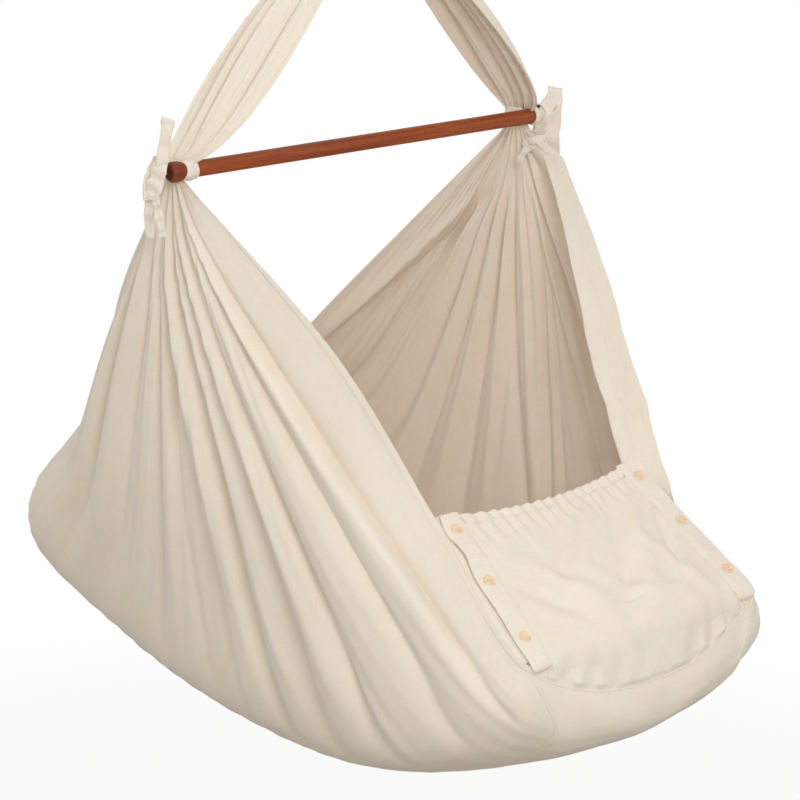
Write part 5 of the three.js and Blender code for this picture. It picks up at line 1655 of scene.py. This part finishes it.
# Outline of a button from the middle of its back round to the middle of its face, in shares of its sizes
BUTTON_OUTLINE = [(0, 0.14), (0.55, 0.1), (0.88, 0.02), (1, 0.38), (0.985, 0.72), (0.9, 1), (0.78, 0.93)]
BUTTON_OUTLINE += [(0.64, 0.68), (0.4, 0.62), (0, 0.66)]
BUTTON_TILTS = ((0.03, -0.05), (0.04, -0.03), (0.05, -0.02))
STRAND_RADIUS, STRAND_GAP = 0.26, 0.36
SHANK_RADIUS, SHANK_LENGTH, SHANK_PITCH, WINDING_RADIUS = 1.1, 4.2, 0.5, 0.33
BUTTON_LIFT = SEAT_GAP + 0.9


def button_mesh():
    outline = [(BUTTON_RADIUS * radius, BUTTON_THICKNESS * height) for radius, height in BUTTON_OUTLINE]
    disc = mesh_object("button_blank", *lathe(rounded(outline, 0.42), 64), RESIN, sharp=65)
    fix_normals(disc)
    eye = [(0, -EYE_REACH), (EYE_RADIUS, -EYE_REACH), (EYE_RADIUS, EYE_REACH), (0, EYE_REACH)]
    for number in range(4):
        angle = math.pi / 4 + math.pi / 2 * number
        place = np.array([math.cos(angle), math.sin(angle), 0]) * BUTTON_RADIUS * EYE_PLACE
        points, faces = lathe(eye, 20)
        cut(disc, f"eye_{number}", points + place, faces, RESIN)
    mesh = disc.data
    mesh.shade_smooth()
    mesh.set_sharp_from_angle(angle=BUTTON_SHARP)
    bpy.data.objects.remove(disc)
    return mesh


def button_thread():
    """Runs of thread through the eyes, and the wound shank under the disc."""
    parts = []
    place = BUTTON_RADIUS * EYE_PLACE * math.sqrt(0.5)
    top = BUTTON_THICKNESS * 0.64
    for strand in (-STRAND_GAP, 0, STRAND_GAP):
        for side in (-1, 1):
            x = side * place + strand * 0.9
            path = [(x, -place, -0.4), (x, -place, top), (x, -place * 0.6, top + 0.6)]
            path += [(x, place * 0.6, top + 0.6), (x, place, top), (x, place, -0.4)]
            parts.append(tube(catmull(path, np.linspace(0, 1, 18)), STRAND_RADIUS, 7, 1.0, (1, 0, 0)))
    for level in np.arange(-SHANK_LENGTH, 0.1, SHANK_PITCH):
        t = np.linspace(0, 2 * math.pi, 18)
        rise = level + SHANK_PITCH * t / (2 * math.pi)
        winding = np.stack([1.15 * np.cos(t), 1.15 * np.sin(t), rise], 1)
        parts.append(tube(winding, WINDING_RADIUS, 6))
    core = [(0, 0, -SHANK_LENGTH - 0.2), (0, 0, -2), (0, 0, 0.6)]
    parts.append(tube(core, SHANK_RADIUS, 12, 1.0, (1, 0, 0)))
    return merge(parts)


def add_buttons():
    disc = button_mesh()
    points, faces = button_thread()
    turn = Vector((0, 0, 1)).rotation_difference(Vector(OUT_OF_FLAP)).to_matrix().to_4x4()
    for number, (share, tilts) in enumerate(zip(BUTTON_SHARES, BUTTON_TILTS), 1):
        along, across = button_place(share)
        for label, side, tilt in zip(("near", "far"), (1, -1), tilts):
            name = f"{label}_{number}"
            spot = Vector(flap_point(along, side * across, BUTTON_LIFT)) * MM
            matrix = Matrix.Translation(spot) @ turn @ Matrix.Rotation(tilt, 4, "X")
            button = add_object(f"sewn_button_{name}", disc.copy())
            threads = mesh_object(f"button_thread_{name}", points, faces, BUTTON_THREAD, sharp=80)
            for piece in (button, threads):
                piece.data.transform(matrix)
            dress(button, "hammock", f"button_{name}")
            dress(threads, "hammock")


add_buttons()


# Seam between the flap's cloth and the gusset

FLAP_STITCH_BACK, FLAP_STITCH_LIFT = 5, 0.05
WELT_RADIUS, WELT_PUCKER, WELT_LIFT, WELT_FLAT = 0.95, 0.15, 0.2, 0.8


def add_flap_seam():
    """Puckered seam where the flap's cloth is sewn to the gusset."""
    across = np.linspace(-FLAP_LOW_HALF + 3, FLAP_LOW_HALF - 3, 420)
    pucker = np.sin(across * 0.42 + 1.5 * np.sin(across * 0.07)) + 0.5 * np.sin(across * 0.97 + 1)
    down = seam_dip(across) + 0.6 * pucker
    point, normal = under_hinge(down, across)
    line = point + normal * (WELT_LIFT + pouch_wrinkles(down, across) * 0.1)[:, None]
    points, faces = tube(line, WELT_RADIUS + WELT_PUCKER * pucker, 12, WELT_FLAT)
    uv = np.stack([points[:, 1], points[:, 0] - points[:, 2]], 1) * MM
    welt = mesh_object("flap_seam_welt", points, faces, COTTON_TRIM, uv, sharp=70)
    fix_normals(welt)
    dress(welt, "hammock")
    down = seam_dip(across) - FLAP_STITCH_BACK
    over, out = under_hinge(down, across)
    sewn = ease(-FLAP_STITCH_BACK, *SEWN_SPAN)
    wrinkled = pouch_wrinkles(down, across) * (1 - APRON_SEWN_CALM * sewn)
    row = over + out * (APRON_LIFT + FLAP_STITCH_LIFT - APRON_SEWN_DROP * sewn + wrinkled)[:, None]
    return welt, stitch_piece("flap_seam_stitches", [(row, out, STITCH_LIFT)], "hammock")


flap_seam_pieces = add_flap_seam()


# Stage and light

FLOOR_LEVEL, FLOOR_REACH = -1.62, 9.0
# Distances between which the floor runs out to white, and the share of white at each
FLOOR_FADE = (0.9, 2.0, 0.88, 1.0)
FLOOR_LIGHT, FLOOR_SHADE, FLOOR_BOUNCE = (0.9, 0.9, 0.89, 1), (0.86, 0.86, 0.85, 1), (0.5, 0.485, 0.455, 1)
AMBIENT_HORIZON, AMBIENT_ZENITH = 0.93, 0.56
WHITE = (1, 1, 1, 1)


def floor_material():
    """Pale floor that is lit near the part and runs out to white."""
    material, nodes = new_material("floor")
    spot = nodes.place()
    flat = nodes.stretched(spot, (1, 1, 0))
    far = nodes.add("ShaderNodeVectorMath", {"Vector": flat}, operation="LENGTH").outputs["Value"]
    away = nodes.span(far, *FLOOR_FADE)
    grain = nodes.noise(spot, 3.0, 3.0)
    tone = nodes.blend(nodes.span(grain, 0.3, 0.7), FLOOR_LIGHT, FLOOR_SHADE)
    path, seen = nodes.unlit()
    tone = nodes.blend(path.outputs["Is Camera Ray"], FLOOR_BOUNCE, tone)
    diffuse = nodes.add("ShaderNodeBsdfDiffuse", {"Color": tone, "Roughness": 0.6})
    white = nodes.add("ShaderNodeEmission", {"Color": WHITE, "Strength": 1.0})
    factor = nodes.math("MULTIPLY", seen, away)
    mixed = nodes.add("ShaderNodeMixShader", {0: factor, 1: diffuse.outputs[0], 2: white.outputs[0]})
    clear = nodes.add("ShaderNodeBsdfTransparent")
    behind = nodes.add("ShaderNodeNewGeometry").outputs["Backfacing"]
    sided = nodes.add("ShaderNodeMixShader", {0: behind, 1: mixed.outputs[0], 2: clear.outputs[0]})
    nodes.add("ShaderNodeOutputMaterial", {"Surface": sided.outputs[0]})
    return material


def add_floor():
    mesh = bpy.data.meshes.new("floor")
    corners = [(x * FLOOR_REACH, y * FLOOR_REACH, 0) for x, y in ((-1, -1), (1, -1), (1, 1), (-1, 1))]
    mesh.from_pydata(corners, [], [(0, 1, 2, 3)])
    mesh.materials.append(floor_material())
    floor = add_object("floor", mesh)
    floor.location.z = FLOOR_LEVEL


def add_world():
    """White to the camera, and a softer sky that lights the part."""
    world = bpy.data.worlds.new("studio")
    world.use_nodes = True
    bpy.context.scene.world = world
    nodes = Nodes(world.node_tree)
    seen = nodes.unlit()[1]
    up = nodes.add("ShaderNodeSeparateXYZ", {"Vector": nodes.place("Generated")}).outputs[2]
    strength = nodes.span(up, 0.0, 1.0, AMBIENT_HORIZON, AMBIENT_ZENITH)
    dim = nodes.add("ShaderNodeBackground", {"Color": (1.0, 0.99, 0.97, 1), "Strength": strength})
    white = nodes.add("ShaderNodeBackground", {"Color": WHITE, "Strength": 1.0})
    mixed = nodes.add("ShaderNodeMixShader", {0: seen, 1: dim.outputs[0], 2: white.outputs[0]})
    nodes.add("ShaderNodeOutputWorld", {"Surface": mixed.outputs[0]})


def add_lamp(name, azimuth, elevation, distance, size, power, tint=(1, 1, 1)):
    data = bpy.data.lights.new(name, "AREA")
    data.shape = "DISK"
    data.size = size
    data.energy = power
    data.color = tint
    aim(add_object(name, data), math.radians(azimuth), math.radians(elevation), distance)


add_floor()
add_world()
add_lamp("key", 60, 25, 3.0, 1.0, 26, (1.0, 0.985, 0.965))
add_lamp("top", 0, 62, 3.2, 1.6, 4)
